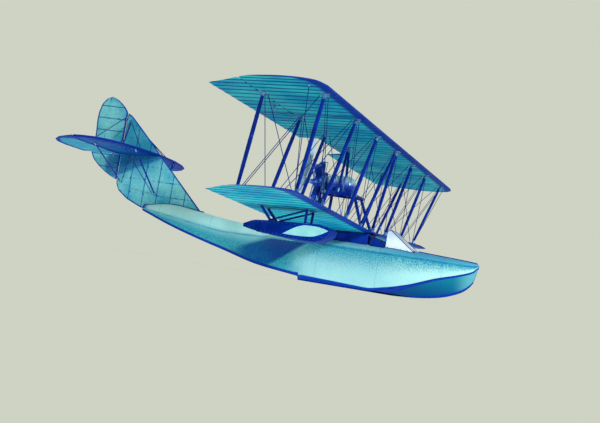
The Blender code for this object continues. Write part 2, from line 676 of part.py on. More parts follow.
def cylinder_profile():
    """Half outline of a finned engine cylinder as distance from the shaft and radius."""
    foot = CYLINDER["foot"]
    head = CYLINDER["head"]
    start = foot + 0.07
    step = (head - 0.045 - start) / CYLINDER["fins"]
    profile = [(foot, CYLINDER["radius"]), (start, CYLINDER["radius"])]
    for fin in range(CYLINDER["fins"]):
        base = start + step * fin
        profile += [(base + step * 0.25, CYLINDER["fin_radius"]),
                    (base + step * 0.60, CYLINDER["fin_radius"]),
                    (base + step * 0.80, CYLINDER["radius"])]
    profile += [(head - 0.040, CYLINDER["radius"]), (head - 0.018, CYLINDER["radius"] * 0.8),
                (head, CYLINDER["radius"] * 0.35)]
    return profile


def make_engine():
    """Rotary engine: crankcase, seven finned cylinders with their pushrods, and the nose shaft."""
    radius = CRANKCASE["radius"]
    back = CRANKCASE["back"]
    front = CRANKCASE["front"]
    profile = ((back, radius * 0.55), (back + 0.05, radius), (front - 0.04, radius), (front, radius * 0.80))
    engine = turned("crankcase", profile, (0.0, 0.0, ENGINE_Z), (1.0, 0.0, 0.0), 21)
    parts = []
    for number in range(CYLINDERS):
        angle = math.tau * number / CYLINDERS + math.radians(8.0)
        out = Vector((0.0, math.sin(angle), math.cos(angle)))
        centre = Vector((ENGINE_X, 0.0, ENGINE_Z))
        parts.append(turned("cylinder", cylinder_profile(), centre, out, 10))
        rod_foot = Vector((PUSHROD["x"], 0.0, ENGINE_Z)) + out * (radius * 0.8)
        rod_head = Vector((PUSHROD["x"], 0.0, ENGINE_Z)) + out * (CYLINDER["head"] - 0.012)
        parts.append(tube("pushrod", rod_foot, rod_head, PUSHROD["radius"], 6))
        rocker_low = Vector((PUSHROD["x"] + 0.012, 0.0, ENGINE_Z)) + out * (CYLINDER["head"] - 0.018)
        rocker_high = Vector((ENGINE_X - 0.02, 0.0, ENGINE_Z)) + out * (CYLINDER["head"] - 0.010)
        parts.append(tube("rocker", rocker_low, rocker_high, 0.008, 6))
    parts.append(tube("nose_shaft", (back + 0.01, 0.0, ENGINE_Z), (PROP["front"] + GAP, 0.0, ENGINE_Z),
                      0.042, 16))
    carve(engine, "UNION", parts)
    bore = tube("bore", (front + 0.05, 0.0, ENGINE_Z), (SHAFT["tip"] - GAP, 0.0, ENGINE_Z),
                SHAFT["radius"] + SHAFT["play"], 16)
    carve(engine, "DIFFERENCE", [bore])
    finish(engine, "rotary_engine", "engine_steel", (ENGINE_X, 0.0, ENGINE_Z), 40.0)


def blade_rings(turn):
    """Blade sections along one radius, each set at the angle of the propeller's pitch."""
    middle = 0.5 * (PROP["front"] + PROP["back"])
    out = Vector((0.0, math.sin(turn), math.cos(turn)))
    sweep = Vector((0.0, math.cos(turn), -math.sin(turn)))
    ahead = Vector((1.0, 0.0, 0.0))
    shape = ((0.50, 0.0), (0.25, 0.42), (-0.10, 0.50), (-0.50, 0.05), (-0.15, -0.30), (0.25, -0.30))
    rings = []
    for radius, chord, thick in BLADE:
        angle = min(math.atan(PROP["pitch"] / (math.tau * radius)), math.radians(50.0))
        chord_way = sweep * math.cos(angle) + ahead * math.sin(angle)
        thick_way = ahead * math.cos(angle) - sweep * math.sin(angle)
        base = Vector((middle, 0.0, ENGINE_Z)) + out * radius
        rings.append([base + chord_way * c * chord + thick_way * t * thick for c, t in shape])
    return rings


def make_propeller():
    hub = tube("propeller", (PROP["back"], 0.0, ENGINE_Z), (PROP["front"], 0.0, ENGINE_Z),
               PROP["hub"], 16)
    blades = []
    for half in (0.0, math.pi):
        blades.append(loft("blade", blade_rings(math.radians(PROP["tilt"]) + half)))
    carve(hub, "UNION", blades)
    finish(hub, "propeller", "propeller_wood", (0.5 * (PROP["front"] + PROP["back"]), 0.0, ENGINE_Z), 40.0)


def make_cabane(wings, mount):
    """Two pairs of legs that carry the upper centre section."""
    for side in (1.0, -1.0):
        end = side_name(side)
        y = side * CABANE_SPREAD
        head = (UPPER["spar_x"], y, under_z(UPPER, UPPER["spar_x"], 0.0))
        foot = (LOWER["spar_x"], side * FRONT_CABANE_FOOT, top_z(LOWER, LOWER["spar_x"], FRONT_CABANE_FOOT))
        leg = strut("leg", foot, head, (0.060, 0.030))
        seat(leg, wings["lower_wing_centre"], (0.0, 0.0, GAP))
        seat(leg, wings["upper_wing_centre"], (0.0, 0.0, -GAP))
        finish(leg, "cabane_strut_front_" + end, "blue_strut", foot, 35.0)
        back_x = UPPER["spar_x"] - SPAR_SPACING
        head = (back_x, y, under_z(UPPER, back_x, 0.0))
        foot = (back_x, side * BEARER["y"], BEARER["z"] + BEARER["height"] / 2)
        leg = strut("leg", foot, head, (0.050, 0.026))
        seat(leg, mount, (0.0, 0.0, GAP))
        seat(leg, wings["upper_wing_centre"], (0.0, 0.0, -GAP))
        finish(leg, "cabane_strut_rear_" + end, "blue_strut", foot, 35.0)


def make_floats(wings):
    """Flat-sided wing float with its frame of legs under the lower wing."""
    for side in (1.0, -1.0):
        end = side_name(side)
        middle = side * FLOAT_Y
        hull = slab_xz("float", FLOAT_OUTLINE, middle - FLOAT_HALF, middle + FLOAT_HALF)
        finish(hull, "wing_float_" + end, "float_blue")
        parts = []
        for y in (middle - FLOAT_LEG_Y, middle + FLOAT_LEG_Y):
            front_x = FLOAT_FRONT_FOOT[0]
            front_foot = Vector((front_x, y, FLOAT_FRONT_FOOT[1]))
            front_head = Vector((front_x, y, under_z(LOWER, front_x, y)))
            rear_foot = Vector((FLOAT_REAR_FOOT[0], y, FLOAT_REAR_FOOT[1]))
            rear_head = Vector((FLOAT_REAR_HEAD_X, y, under_z(LOWER, FLOAT_REAR_HEAD_X, y)))
            front = strut("leg", front_foot, front_head, FLOAT_LEG, 0.012)
            rear = strut("leg", rear_foot, rear_head, FLOAT_LEG, 0.012)
            brace = strut("brace", rear_foot + Vector((-0.015, 0.0, 0.02)),
                          front_head + Vector((-0.02, 0.0, -0.03)), (0.030, 0.016), 0.0)
            parts += [front, rear, brace]
        bars = []
        for x, z in FLOAT_BARS:
            bars.append(tube("bar", (x, middle - FLOAT_LEG_Y, z), (x, middle + FLOAT_LEG_Y, z),
                             FLOAT_BAR_RADIUS, 8))
        frame = bars[0]
        carve(frame, "UNION", parts + bars[1:])
        seat(frame, wings["lower_wing_" + end], (0.0, 0.0, -GAP))
        seat(frame, hull, (0.0, 0.0, GAP))
        finish(frame, "float_frame_" + end, "blue_strut", (FLOAT_BARS[0][0], middle, FLOAT_BARS[0][1]))


def make_fin(hull):
    """Fin that stands on the narrow deck and carries the rudder's hinges on its stern post."""
    stern = HULL_FRAMES[-1][0] + GAP
    deck = [(x, deck_z(x) + GAP) for x in (stern, HULL_FRAMES[-2][0], HULL_FRAMES[-3][0])]
    outline = list(FIN_OUTLINE) + [(FIN_OUTLINE[-1][0], deck[0][1])] + deck
    fin = slab_xz("fin", outline, -FIN_HALF, FIN_HALF)
    for z in RUDDER_HINGES:
        at = (RUDDER_X, 0.0, z)
        carve(fin, "UNION", [hinge_lug(at, (0.0, 0.0, 1.0), (1.0, 0.0, 0.0), FIN_BACK - RUDDER_X)])
    return finish(fin, "fin", "teal_fabric")


def make_rudder():
    rudder = slab_xz("rudder", RUDDER_OUTLINE, -RUDDER_HALF, RUDDER_HALF)
    for z in RUDDER_HINGES:
        at = (RUDDER_X, 0.0, z)
        carve(rudder, "DIFFERENCE", hinge_cuts(at, (0.0, 0.0, 1.0), (1.0, 0.0, 0.0), RUDDER_HALF))
    finish(rudder, "rudder", "teal_fabric", (RUDDER_X, 0.0, RUDDER_OUTLINE[0][1]))


def make_tailplanes():
    """Tailplane halves butted on the fin, with the elevators on their rear edge."""
    tails = {}
    back = ELEVATOR_X + ELEVATOR_NOSE_GAP
    for side in (1.0, -1.0):
        end = side_name(side)
        rings = []
        for y, lead in TAIL_LEAD:
            chord = lead - back
            ring = [Vector((lead, side * y, TAIL_Z))]
            for along, height in ((0.06, 0.55), (0.30, 1.0), (1.0, 0.85)):
                ring.append(Vector((lead - along * chord, side * y, TAIL_Z + height * TAIL_HALF)))
            for along, height in ((1.0, -0.85), (0.30, -1.0), (0.06, -0.55)):
                ring.append(Vector((lead - along * chord, side * y, TAIL_Z + height * TAIL_HALF)))
            rings.append(ring)
        tail = loft("tailplane", rings)
        nose = TAIL_HALF * 0.85
        outline = [(x, side * y) for x, y in ELEVATOR_OUTLINE]
        elevator = slab_xy("elevator", outline, TAIL_Z - nose, TAIL_Z + nose)
        for cut in elevator_tapers(side, nose):
            carve(elevator, "DIFFERENCE", [cut])
        for y in ELEVATOR_HINGES:
            at = (ELEVATOR_X, side * y, TAIL_Z)
            carve(elevator, "DIFFERENCE", hinge_cuts(at, (0.0, 1.0, 0.0), (1.0, 0.0, 0.0), nose))
            carve(tail, "UNION", [hinge_lug(at, (0.0, 1.0, 0.0), (1.0, 0.0, 0.0), ELEVATOR_NOSE_GAP)])
        for half in (tail, elevator):
            half.data.transform(tail_tilt())
        finish(tail, "tailplane_" + end, "teal_fabric")
        elevator_foot = (ELEVATOR_X, side * ELEVATOR_OUTLINE[0][1], TAIL_Z)
        finish(elevator, "elevator_" + end, "teal_fabric", elevator_foot)
        tails[end] = tail
    return tails


def tail_tilt():
    """Shear that lifts the tailplane's front edge and drops its rear edge about the hinge."""
    tilt = Matrix.Identity(4)
    tilt[2][0] = TAIL_INCIDENCE
    tilt[2][3] = -TAIL_INCIDENCE * ELEVATOR_X
    return tilt


def elevator_tapers(side, nose):
    """Wedges that thin an elevator from its hinge to its trailing edge, over and under."""
    start = ELEVATOR_X - ELEVATOR_FLAT
    end = min(x for x, y in ELEVATOR_OUTLINE) - 0.02
    thin = ELEVATOR_EDGE
    wedges = []
    for way in (1.0, -1.0):
        outline = ((start, TAIL_Z + way * nose), (end, TAIL_Z + way * thin), (end, TAIL_Z + way * 0.2),
                   (start, TAIL_Z + way * 0.2))
        low, high = sorted((0.0, side * 3.0))
        wedges.append(slab_xz("wedge", outline, low, high))
    return wedges


def make_tail_struts(fin, tails):
    for side in (1.0, -1.0):
        end = side_name(side)
        for name, (foot_x, foot_z), (head_x, head_y), way in TAIL_STRUTS:
            foot = (foot_x, side * FIN_HALF, foot_z)
            head_z = TAIL_Z + TAIL_INCIDENCE * (head_x - ELEVATOR_X) + way * 0.9 * TAIL_HALF
            head = (head_x, side * head_y, head_z)
            bar = strut("strut", foot, head, TAIL_STRUT, 0.012)
            carve(bar, "DIFFERENCE", [slab_xz("side", ((-5.0, 0.0), (-1.0, 0.0), (-1.0, 4.0), (-5.0, 4.0)),
                                              *sorted((-side * 0.5, side * (FIN_HALF + GAP))))])
            seat(bar, tails[end], (0.0, 0.0, GAP * way))
            finish(bar, name + "_" + end, "blue_strut", foot, 35.0)


def main():
    clear_scene()
    hull = make_hull()
    make_coaming(hull)
    make_windscreen(hull)
    make_seats()
    make_controls()
    wings = make_wings()
    make_interplane_struts(wings)
    make_flying_wires(wings)
    mount = make_engine_mount(wings)
    make_cabane(wings, mount)
    make_tank()
    make_engine()
    make_propeller()
    make_floats(wings)
    fin = make_fin(hull)
    make_rudder()
    tails = make_tailplanes()
    make_tail_struts(fin, tails)
    finish(hull, "hull", "teal_ply", smooth=25.0)
    for name, wing in wings.items():
        finish(wing, name, "teal_fabric", smooth=25.0)


main()
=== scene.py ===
"""Looks of a small biplane flying boat with a pusher rotary engine. Metres, in the CAD frame."""
import bisect
from math import atan, cos, hypot, pi, radians, sin, sqrt, tan, tau

import bmesh
import bpy
from mathutils import Matrix, Vector


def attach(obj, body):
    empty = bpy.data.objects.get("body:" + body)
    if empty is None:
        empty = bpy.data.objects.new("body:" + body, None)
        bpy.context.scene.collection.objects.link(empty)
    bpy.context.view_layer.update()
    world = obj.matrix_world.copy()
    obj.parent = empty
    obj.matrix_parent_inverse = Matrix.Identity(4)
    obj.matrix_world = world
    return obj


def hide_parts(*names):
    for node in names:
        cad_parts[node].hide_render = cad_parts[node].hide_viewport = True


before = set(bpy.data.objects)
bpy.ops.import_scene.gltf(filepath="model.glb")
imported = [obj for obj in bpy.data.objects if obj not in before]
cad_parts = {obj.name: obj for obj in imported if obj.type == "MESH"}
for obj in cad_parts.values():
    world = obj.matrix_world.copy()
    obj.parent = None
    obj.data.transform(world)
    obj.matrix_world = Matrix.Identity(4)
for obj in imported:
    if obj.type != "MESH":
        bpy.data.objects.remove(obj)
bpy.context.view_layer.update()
scene = bpy.context.scene
scene.view_settings.view_transform = "Standard"

# Camera that was fitted to the picture, in the part's frame
CAMERA = {"place": (7.088, -21.076, 0.0025), "yaw": 107.185, "pitch": 3.548, "roll": 9.534,
          "focal": 1091.654, "width": 600}

# Dimensions that the CAD model also has
HULL_FRAMES = (
    (4.3, 0.76, 0.03, 0.795, 0.035, 0.825, 0.85),
    (4.23, 0.47, 0.085, 0.7, 0.1, 0.8, 0.866),
    (4.0, 0.25, 0.205, 0.59, 0.225, 0.79, 0.882),
    (3.57, 0.095, 0.35, 0.44, 0.375, 0.78, 0.9),
    (3.1, 0.025, 0.445, 0.24, 0.465, 0.775, 0.92),
    (2.6, 0.0, 0.48, 0.07, 0.5, 0.77, 0.94),
    (2.25, 0.0, 0.48, 0.0, 0.5, 0.765, 0.94),
    (0.9, 0.0, 0.48, 0.0, 0.495, 0.755, 0.935),
    (0.88, 0.075, 0.478, 0.075, 0.494, 0.755, 0.935),
    (0.0, 0.17, 0.4, 0.17, 0.43, 0.735, 0.935),
    (-0.82, 0.35, 0.255, 0.35, 0.29, 0.72, 0.98),
    (-1.56, 0.52, 0.165, 0.52, 0.215, 0.79, 1.06),
    (-2.16, 0.68, 0.11, 0.68, 0.15, 0.86, 1.12),
    (-2.85, 0.905, 0.06, 0.905, 0.075, 0.95, 1.02),
)
STEP_ROW = 8
UPPER = {"spar_x": 2.34, "under_z": 2.83, "lead": 2.52, "trail": 0.62, "dihedral": 0.0}
LOWER = {"spar_x": 1.98, "under_z": 1.11, "lead": 2.2, "trail": 0.6, "dihedral": 0.027}
INCIDENCE = tan(radians(3.5))
SECTION = ((0.0, 0.011), (0.02, 0.026), (0.055, 0.039), (0.095, 0.047), (0.165, 0.053),
           (0.3, 0.055), (0.45, 0.051), (0.64, 0.039), (0.75, 0.029), (0.88, 0.015),
           (1.0, 0.003))
NOSE_UNDER = 0.014
UPPER_TIP = ((5.9, 2.52, 0.62, 1.0), (6.2, 2.49, 1.03, 0.85), (6.36, 2.43, 1.22, 0.66),
             (6.48, 2.34, 1.37, 0.5), (6.57, 2.2, 1.52, 0.38), (6.61, 2.06, 1.66, 0.34))
LOWER_TIP = ((5.25, 2.2, 0.6, 1.0), (5.58, 2.19, 0.9, 0.85), (5.78, 2.14, 1.08, 0.66),
             (5.92, 2.06, 1.23, 0.5), (6.02, 1.94, 1.38, 0.38), (6.06, 1.82, 1.5, 0.34))
STATIONS = (1.75, 3.4, 5.45)
FEET = (1.75, 3.4, 4.95)
SPAR_SPACING = 0.98
AILERON_X = 1.26
AILERON_IN = 3.56
AILERON_HINGES = (3.85, 4.85, 5.85)
ENGINE = Vector((0.87, 0.0, 2.01))
TAIL_Z = 2.03
TAIL_TILT = tan(radians(5.5))
ELEVATOR_X = -3.5
RUDDER_X = -3.6
# Slots in the moving surfaces for their hinges
SLOT_HALF = 0.012
SLOT_DEEP = 0.019

SIDES = ((1.0, "port"), (-1.0, "starboard"))
# Directions: ahead along the engine's shaft, aft, and up
AXLE = (1.0, 0.0, 0.0)
AFT = (-1.0, 0.0, 0.0)
UP = (0.0, 0.0, 1.0)


def vec(x, y, z):
    return Vector((x, y, z))


def ink(colour):
    """Linear values of a colour of 0 to 255 a channel. A node's socket stays as it is."""
    if isinstance(colour, bpy.types.NodeSocket):
        return colour
    shares = [channel / 255.0 for channel in colour]
    linear = [share / 12.92 if share <= 0.04045 else ((share + 0.055) / 1.055) ** 2.4 for share in shares]
    return (*linear, 1.0)


def smooth_through(pairs):
    """A monotone cubic through pairs of x and y, as a function of x."""
    pairs = sorted(pairs)
    xs = [pair[0] for pair in pairs]
    ys = [pair[1] for pair in pairs]
    slopes = [(ys[i + 1] - ys[i]) / (xs[i + 1] - xs[i]) for i in range(len(xs) - 1)]
    tangents = [slopes[0]]
    for before, after in zip(slopes, slopes[1:]):
        level = before * after <= 0.0
        tangents.append(0.0 if level else 2.0 * before * after / (before + after))
    tangents.append(slopes[-1])

    def height(x):
        i = max(0, min(len(xs) - 2, bisect.bisect_right(xs, x) - 1))
        width = xs[i + 1] - xs[i]
        t = max(0.0, min(1.0, (x - xs[i]) / width))
        rise = (2 * t ** 3 - 3 * t ** 2 + 1) * ys[i] + (3 * t ** 2 - 2 * t ** 3) * ys[i + 1]
        lean = (t ** 3 - 2 * t ** 2 + t) * tangents[i] + (t ** 3 - t ** 2) * tangents[i + 1]
        return rise + width * lean

    return height


def straight_through(pairs):
    """Straight lines through pairs of x and y, as a function of x."""
    pairs = sorted(pairs)

    def height(x):
        if x <= pairs[0][0]:
            return pairs[0][1]
        for (a, low), (b, high) in zip(pairs, pairs[1:]):
            if x <= b:
                return low + (high - low) * (x - a) / (b - a)
        return pairs[-1][1]

    return height


# Materials
class Look:
    """One procedural material, built node by node in the part's own coordinates."""

    def __init__(self, name, rough=0.5, metal=0.0, **sockets):
        self.paint = bpy.data.materials.new(name)
        self.paint.use_nodes = True
        self.tree = self.paint.node_tree
        self.shader = self.tree.nodes["Principled BSDF"]
        self.here = self.node("ShaderNodeTexCoord").outputs["Object"]
        for socket, value in {"Roughness": rough, "Metallic": metal, **sockets}.items():
            self.put(self.shader.inputs[socket.replace("_", " ")], value)

    def node(self, kind, sockets=(), **settings):
        """A new node with its settings, and its sockets filled by name or number."""
        made = self.tree.nodes.new(kind)
        for setting, value in settings.items():
            setattr(made, setting, value)
        for socket, value in dict(sockets).items():
            self.put(made.inputs[socket], value)
        return made

    def put(self, socket, value):
        if isinstance(value, bpy.types.NodeSocket):
            self.tree.links.new(value, socket)
        else:
            socket.default_value = value

    def noise(self, scale, detail=3.0, rough=0.55, stretch=(1.0, 1.0, 1.0)):
        shift = self.node("ShaderNodeMapping", {"Vector": self.here, "Scale": stretch})
        sockets = {"Vector": shift.outputs[0], "Scale": scale, "Detail": detail, "Roughness": rough}
        return self.node("ShaderNodeTexNoise", sockets).outputs["Fac"]

    def wave(self, scale, axis):
        sockets = {"Vector": self.here, "Scale": scale}
        return self.node("ShaderNodeTexWave", sockets, bands_direction=axis).outputs["Fac"]

    def place(self, axis):
        return self.node("ShaderNodeSeparateXYZ", {0: self.here}).outputs[axis]

    def attribute(self, name):
        return self.node("ShaderNodeAttribute", attribute_name=name).outputs["Fac"]

    def math(self, operation, a, b=0.0):
        return self.node("ShaderNodeMath", {0: a, 1: b}, operation=operation).outputs[0]

    def plus(self, a, b):
        return self.math("ADD", a, b)

    def minus(self, a, b):
        return self.math("SUBTRACT", a, b)

    def times(self, a, b):
        return self.math("MULTIPLY", a, b)

    def jitter(self, value, grain, size):
        """The value moved up and down by the grain."""
        return self.plus(value, self.times(self.minus(grain, 0.5), size))

    def band(self, value, low, high, start=0.0, end=1.0):
        sockets = {"Value": value, "From Min": low, "From Max": high, "To Min": start, "To Max": end}
        return self.node("ShaderNodeMapRange", sockets, interpolation_type="SMOOTHSTEP").outputs[0]

    def mix(self, share, a, b):
        return self.node("ShaderNodeMix", {0: share, 6: ink(a), 7: ink(b)}, data_type="RGBA").outputs[2]

    def blend(self, value, low, high, a, b):
        """Colour a where the value is low, colour b where it is high."""
        return self.mix(self.band(value, low, high), a, b)

    def done(self, colour, *bumps, rough=None):
        """The material with its colour, its roughness and its bumps: a height and how far it stands out."""
        self.put(self.shader.inputs["Base Color"], colour)
        normal = self.shader.inputs["Normal"]
        for height, distance in reversed(bumps):
            made = self.node("ShaderNodeBump", {"Height": height, "Distance": distance})
            self.put(normal, made.outputs[0])
            normal = made.inputs["Normal"]
        if rough is not None:
            self.put(self.shader.inputs["Roughness"], rough)
        return self.paint


def fabric_look(name, light, dark, line, edge, line_half=0.021, rim_width=(0.12, 0.21), depth=0.88,
                tailplane_shadow=False):
    """Doped linen with rib tapes, stitches, a dark rim and a weave. The last argument adds a painted shadow
    of the tailplane on the fin and rudder below it.
    """
    look = Look(name, rough=0.62, Specular_IOR_Level=0.04)
    cloud = look.noise(1.1, 4.0)
    grain = look.noise(46.0, 2.0, 0.7, (0.45, 1.0, 1.0))
    rib = look.attribute("rib")
    base = look.blend(cloud, 0.35, 0.65, light, dark)
    base = look.mix(look.band(grain, 0.3, 0.7, 0.0, 0.3), base, line)
    ragged = look.jitter(rib, grain, 0.035)
    base = look.mix(look.band(ragged, line_half, line_half * 2.4, depth, 0.0), base, line)
    if tailplane_shadow:
        # Painted shadow of the tailplane: darker teal on the fin and rudder just below it.
        x = look.place("X")
        z = look.place("Z")
        over = look.plus(look.minus(z, look.times(x, 0.495)), look.times(grain, 0.08))
        under = look.minus(z, look.times(x, TAIL_TILT))
        shade = look.times(look.band(over, 3.34, 3.42, 0.0, 0.78), look.band(under, 2.36, 2.38, 1.0, 0.0))
        shade = look.times(shade, look.band(x, -3.96, -3.84))
        base = look.mix(shade, base, look.blend(grain, 0.3, 0.7, (10, 96, 146), (0, 56, 132)))
    uneven = look.jitter(look.attribute("rim"), cloud, (rim_width[1] - rim_width[0]) * 0.5)
    base = look.mix(look.band(uneven, *rim_width, 0.95, 0.0), base, edge)
    weave = look.times(look.wave(160.0, "X"), look.wave(160.0, "Y"))
    raised = look.band(rib, 0.02, 0.024, 1.0, 0.0)
    stitch = look.times(look.band(look.wave(5.0, "X"), 0.75, 0.9), look.band(rib, 0.003, 0.006, 1.0, 0.0))
    return look.done(base, (weave, 0.0004), (grain, 0.0012), (raised, 0.0012), (stitch, 0.0016),
                     rough=look.band(cloud, 0.2, 0.8, 0.52, 0.72))


def hull_look():
    """Painted ply with navy along the chine. The teal under the gunwale and low on the aft sides, fading to
    pale, is painted shade, and the pale aft deck is painted light. The dark area by the float is a painted
    shadow of the lower wing and float, and the pale bottom by the stem is a painted highlight.
    """
    look = Look("hull_paint", rough=0.4, Specular_IOR_Level=0.04)
    girth = look.attribute("girth")
    belt = look.attribute("belt")
    x = look.place("X")
    z = look.place("Z")
    cloud = look.noise(1.3, 4.0)
    grain = look.noise(52.0, 2.0, 0.7)

    def speckle(light, dark, low=0.3, high=0.7):
        return look.blend(grain, low, high, light, dark)

    pale = look.blend(cloud, 0.3, 0.7, (162, 212, 214), (144, 200, 208))
    teal = speckle((56, 170, 180), (6, 104, 150), 0.35, 0.65)
    navy = speckle((0, 40, 146), (4, 66, 168))
    # Painted shade: teal high on the forebody side and low on the aft sides, fading to pale.
    fuzzy = look.jitter(girth, grain, 0.95)
    over = look.minus(fuzzy, look.band(x, 3.0, 4.2, 0.66, 0.54))
    front = look.mix(look.band(over, -0.3, 0.34, 0.0, 0.95), pale, teal)
    aft = look.mix(look.band(fuzzy, 0.55, 1.25, 0.95, 0.15), pale, teal)
    side = look.blend(x, 0.55, 1.15, aft, front)
    # Painted shadow of the lower wing and float on the side, between two slanted borders, darker towards its
    # front and top.
    fore_of = look.minus(x, look.times(z, 1.36))
    aft_of = look.minus(x, look.times(z, 2.44))
    painted_shadow = look.times(look.band(fore_of, -0.1, 0.03, 1.0, 0.0), look.band(aft_of, -1.74, -1.5))
    painted_shadow = look.times(painted_shadow, look.band(x, -0.75, -0.25))
    painted_shadow = look.times(painted_shadow, look.band(girth, 0.96, 1.02, 0.9, 0.0))
    corner = look.plus(look.plus(x, look.times(z, 0.9)), look.times(grain, 0.5))
    shadow_navy = speckle((2, 54, 142), (0, 28, 120), 0.35, 0.65)
    deep = look.blend(corner, 0.45, 1.25, speckle((8, 98, 158), (0, 56, 140)), shadow_navy)
    side = look.mix(painted_shadow, side, deep)
    # Painted light: the aft deck pale above the teal sides.
    deck = look.blend(x, -0.4, 0.9, pale, look.mix(0.6, pale, teal))
    deck = look.blend(x, 2.2, 3.0, deck, look.blend(cloud, 0.3, 0.7, (66, 150, 184), (48, 132, 176)))
    body = look.blend(girth, 1.05, 1.35, side, deck)
    level = look.plus(z, look.times(grain, 0.3))
    bottom = look.blend(level, 0.2, 0.8, (2, 74, 128), (18, 118, 142))
    # Painted highlight: the bottom pale near the stem.
    bottom = look.mix(look.band(x, 3.86, 4.22, 0.0, 0.6), bottom, (104, 178, 190))
    run = look.plus(x, look.times(grain, 0.4))
    bottom = look.blend(run, 2.65, 3.35, speckle((0, 30, 120), (0, 50, 140)), bottom)
    bottom = look.mix(look.band(girth, -0.89, -0.8, 0.95, 0.0), bottom, navy)
    body = look.mix(look.band(girth, -0.045, -0.015, 1.0, 0.0), body, bottom)
    in_belt = look.times(look.band(belt, 0.9, 1.08, 1.0, 0.0), look.band(belt, -1.3, -1.0))
    body = look.mix(in_belt, body, navy)
    body = look.mix(look.band(x, -2.84, -2.7, 1.0, 0.0), body, navy)
    seam = look.band(look.math("PINGPONG", x, 0.61), 0.0015, 0.006, 1.0, 0.0)
    body = look.mix(look.times(seam, 0.35), body, navy)
    scuff = look.band(look.noise(9.0, 5.0, 0.75, (0.5, 1.0, 2.0)), 0.62, 0.72, 0.0, 0.35)
    body = look.mix(look.times(scuff, look.band(girth, -0.2, 0.9, 1.0, 0.0)), body, (104, 140, 150))
    row = look.math("ABSOLUTE", look.minus(girth, 0.93))
    nails = look.times(look.band(look.wave(6.3, "X"), 0.93, 0.99), look.band(row, 0.004, 0.012, 1.0, 0.0))
    ply = look.noise(70.0, 3.0, 0.6, (0.2, 1.0, 1.0))
    rough = look.plus(look.band(cloud, 0.2, 0.8, 0.3, 0.46), look.band(girth, -0.05, 0.0, 0.45, 0.0))
    return look.done(body, (ply, 0.0012), (seam, -0.0015), (nails, 0.001), rough=rough)


RUBBED = (60, 116, 194)


def paint_look(name, base, dark, worn=RUBBED, rough=0.4, scale=34.0, stretch=(0.12, 1.0, 1.0), gloss=0.07):
    """Brushed paint over wood or steel, with small chips."""
    look = Look(name, rough=rough, Specular_IOR_Level=gloss)
    cloud = look.noise(5.0, 4.0)
    grain = look.noise(scale, 4.0, 0.65, stretch)
    body = look.blend(cloud, 0.3, 0.7, base, dark)
    body = look.mix(look.band(grain, 0.35, 0.75, 0.0, 0.25), body, dark)
    chips = look.band(look.noise(95.0, 5.0, 0.75), 0.64, 0.7, 0.0, 0.45)
    rubbed = look.band(look.noise(11.0, 3.0, 0.6), 0.6, 0.76, 0.0, 0.3)
    body = look.mix(look.math("MAXIMUM", rubbed, chips), body, worn)
    return look.done(body, (grain, 0.0008), (look.noise(240.0, 2.0), 0.0003),
                     rough=look.band(cloud, 0.2, 0.8, rough - 0.08, rough + 0.1))


def metal_look(name, base, dark, rough=0.34, metal=0.85, painted_highlight_above=None, gloss=0.5):
    """Blued, oily metal with fine tool marks, and, where a height is given, a painted highlight that turns
    it pale above that height.
    """
    look = Look(name, rough=rough, metal=metal, Specular_IOR_Level=gloss)
    cloud = look.noise(14.0, 5.0, 0.65)
    body = look.blend(cloud, 0.35, 0.65, base, dark)
    oil = look.band(look.noise(38.0, 4.0, 0.7), 0.58, 0.7)
    body = look.mix(look.times(oil, 0.6), body, (6, 20, 60))
    if painted_highlight_above:
        # Painted highlight: pale on the top, above the given height.
        body = look.mix(look.band(look.place("Z"), *painted_highlight_above, 0.0, 0.9), body, (176, 214, 228))
    marks = look.noise(320.0, 2.0, 0.6, (1.0, 0.2, 1.0))
    return look.done(body, (marks, 0.0003), (cloud, 0.0006),
                     rough=look.band(cloud, 0.25, 0.75, rough - 0.1, rough + 0.16))


def leather_look(name, base, dark):
    look = Look(name, rough=0.5, Sheen_Weight=0.03, Specular_IOR_Level=0.14)
    cells = {"Vector": look.here, "Scale": 260.0}
    cells = look.node("ShaderNodeTexVoronoi", cells, feature="DISTANCE_TO_EDGE")
    pores = look.band(cells.outputs["Distance"], 0.0, 0.22)
    cloud = look.noise(12.0, 4.0)
    body = look.blend(cloud, 0.35, 0.65, base, dark)
    body = look.mix(look.band(look.noise(46.0, 4.0, 0.7), 0.6, 0.74, 0.0, 0.5), body, (60, 104, 168))
    return look.done(body, (pores, 0.0006), (look.noise(90.0, 3.0), 0.001),
                     rough=look.band(cloud, 0.2, 0.8, 0.42, 0.62))


def wood_look(name, base, dark, axis="Z", rough=0.34):
    """Varnished wood, grained along one axis."""
    stretch = [0.05 if letter == axis else 1.0 for letter in "XYZ"]
    look = Look(name, rough=rough, Coat_Weight=0.5, Coat_Roughness=0.15)
    grain = look.noise(34.0, 6.0, 0.7, stretch)
    fibre = look.noise(190.0, 2.0, 0.6, stretch)
    body = look.blend(grain, 0.32, 0.68, base, dark)
    body = look.mix(look.band(fibre, 0.45, 0.65, 0.0, 0.35), body, dark)
    return look.done(body, (grain, 0.0006), (fibre, 0.0003))


def celluloid_look():
    look = Look("windscreen_celluloid", rough=0.2, Alpha=0.84)
    haze = look.noise(9.0, 4.0, 0.6, (1.0, 1.0, 0.3))
    tint = look.blend(haze, 0.35, 0.7, (240, 249, 252), (222, 238, 246))
    # Painted shade: the panes bluer towards their top, under the frame.
    tint = look.mix(look.band(look.place("Z"), 0.98, 1.26, 0.0, 0.65), tint, (140, 184, 222))
    return look.done(tint, (look.noise(4.0, 2.0), 0.0015),
                     rough=look.band(look.noise(24.0, 5.0), 0.3, 0.8, 0.16, 0.34))


UPRIGHT = (1.0, 1.0, 0.12)
ALONG = (0.2, 1.0, 1.0)
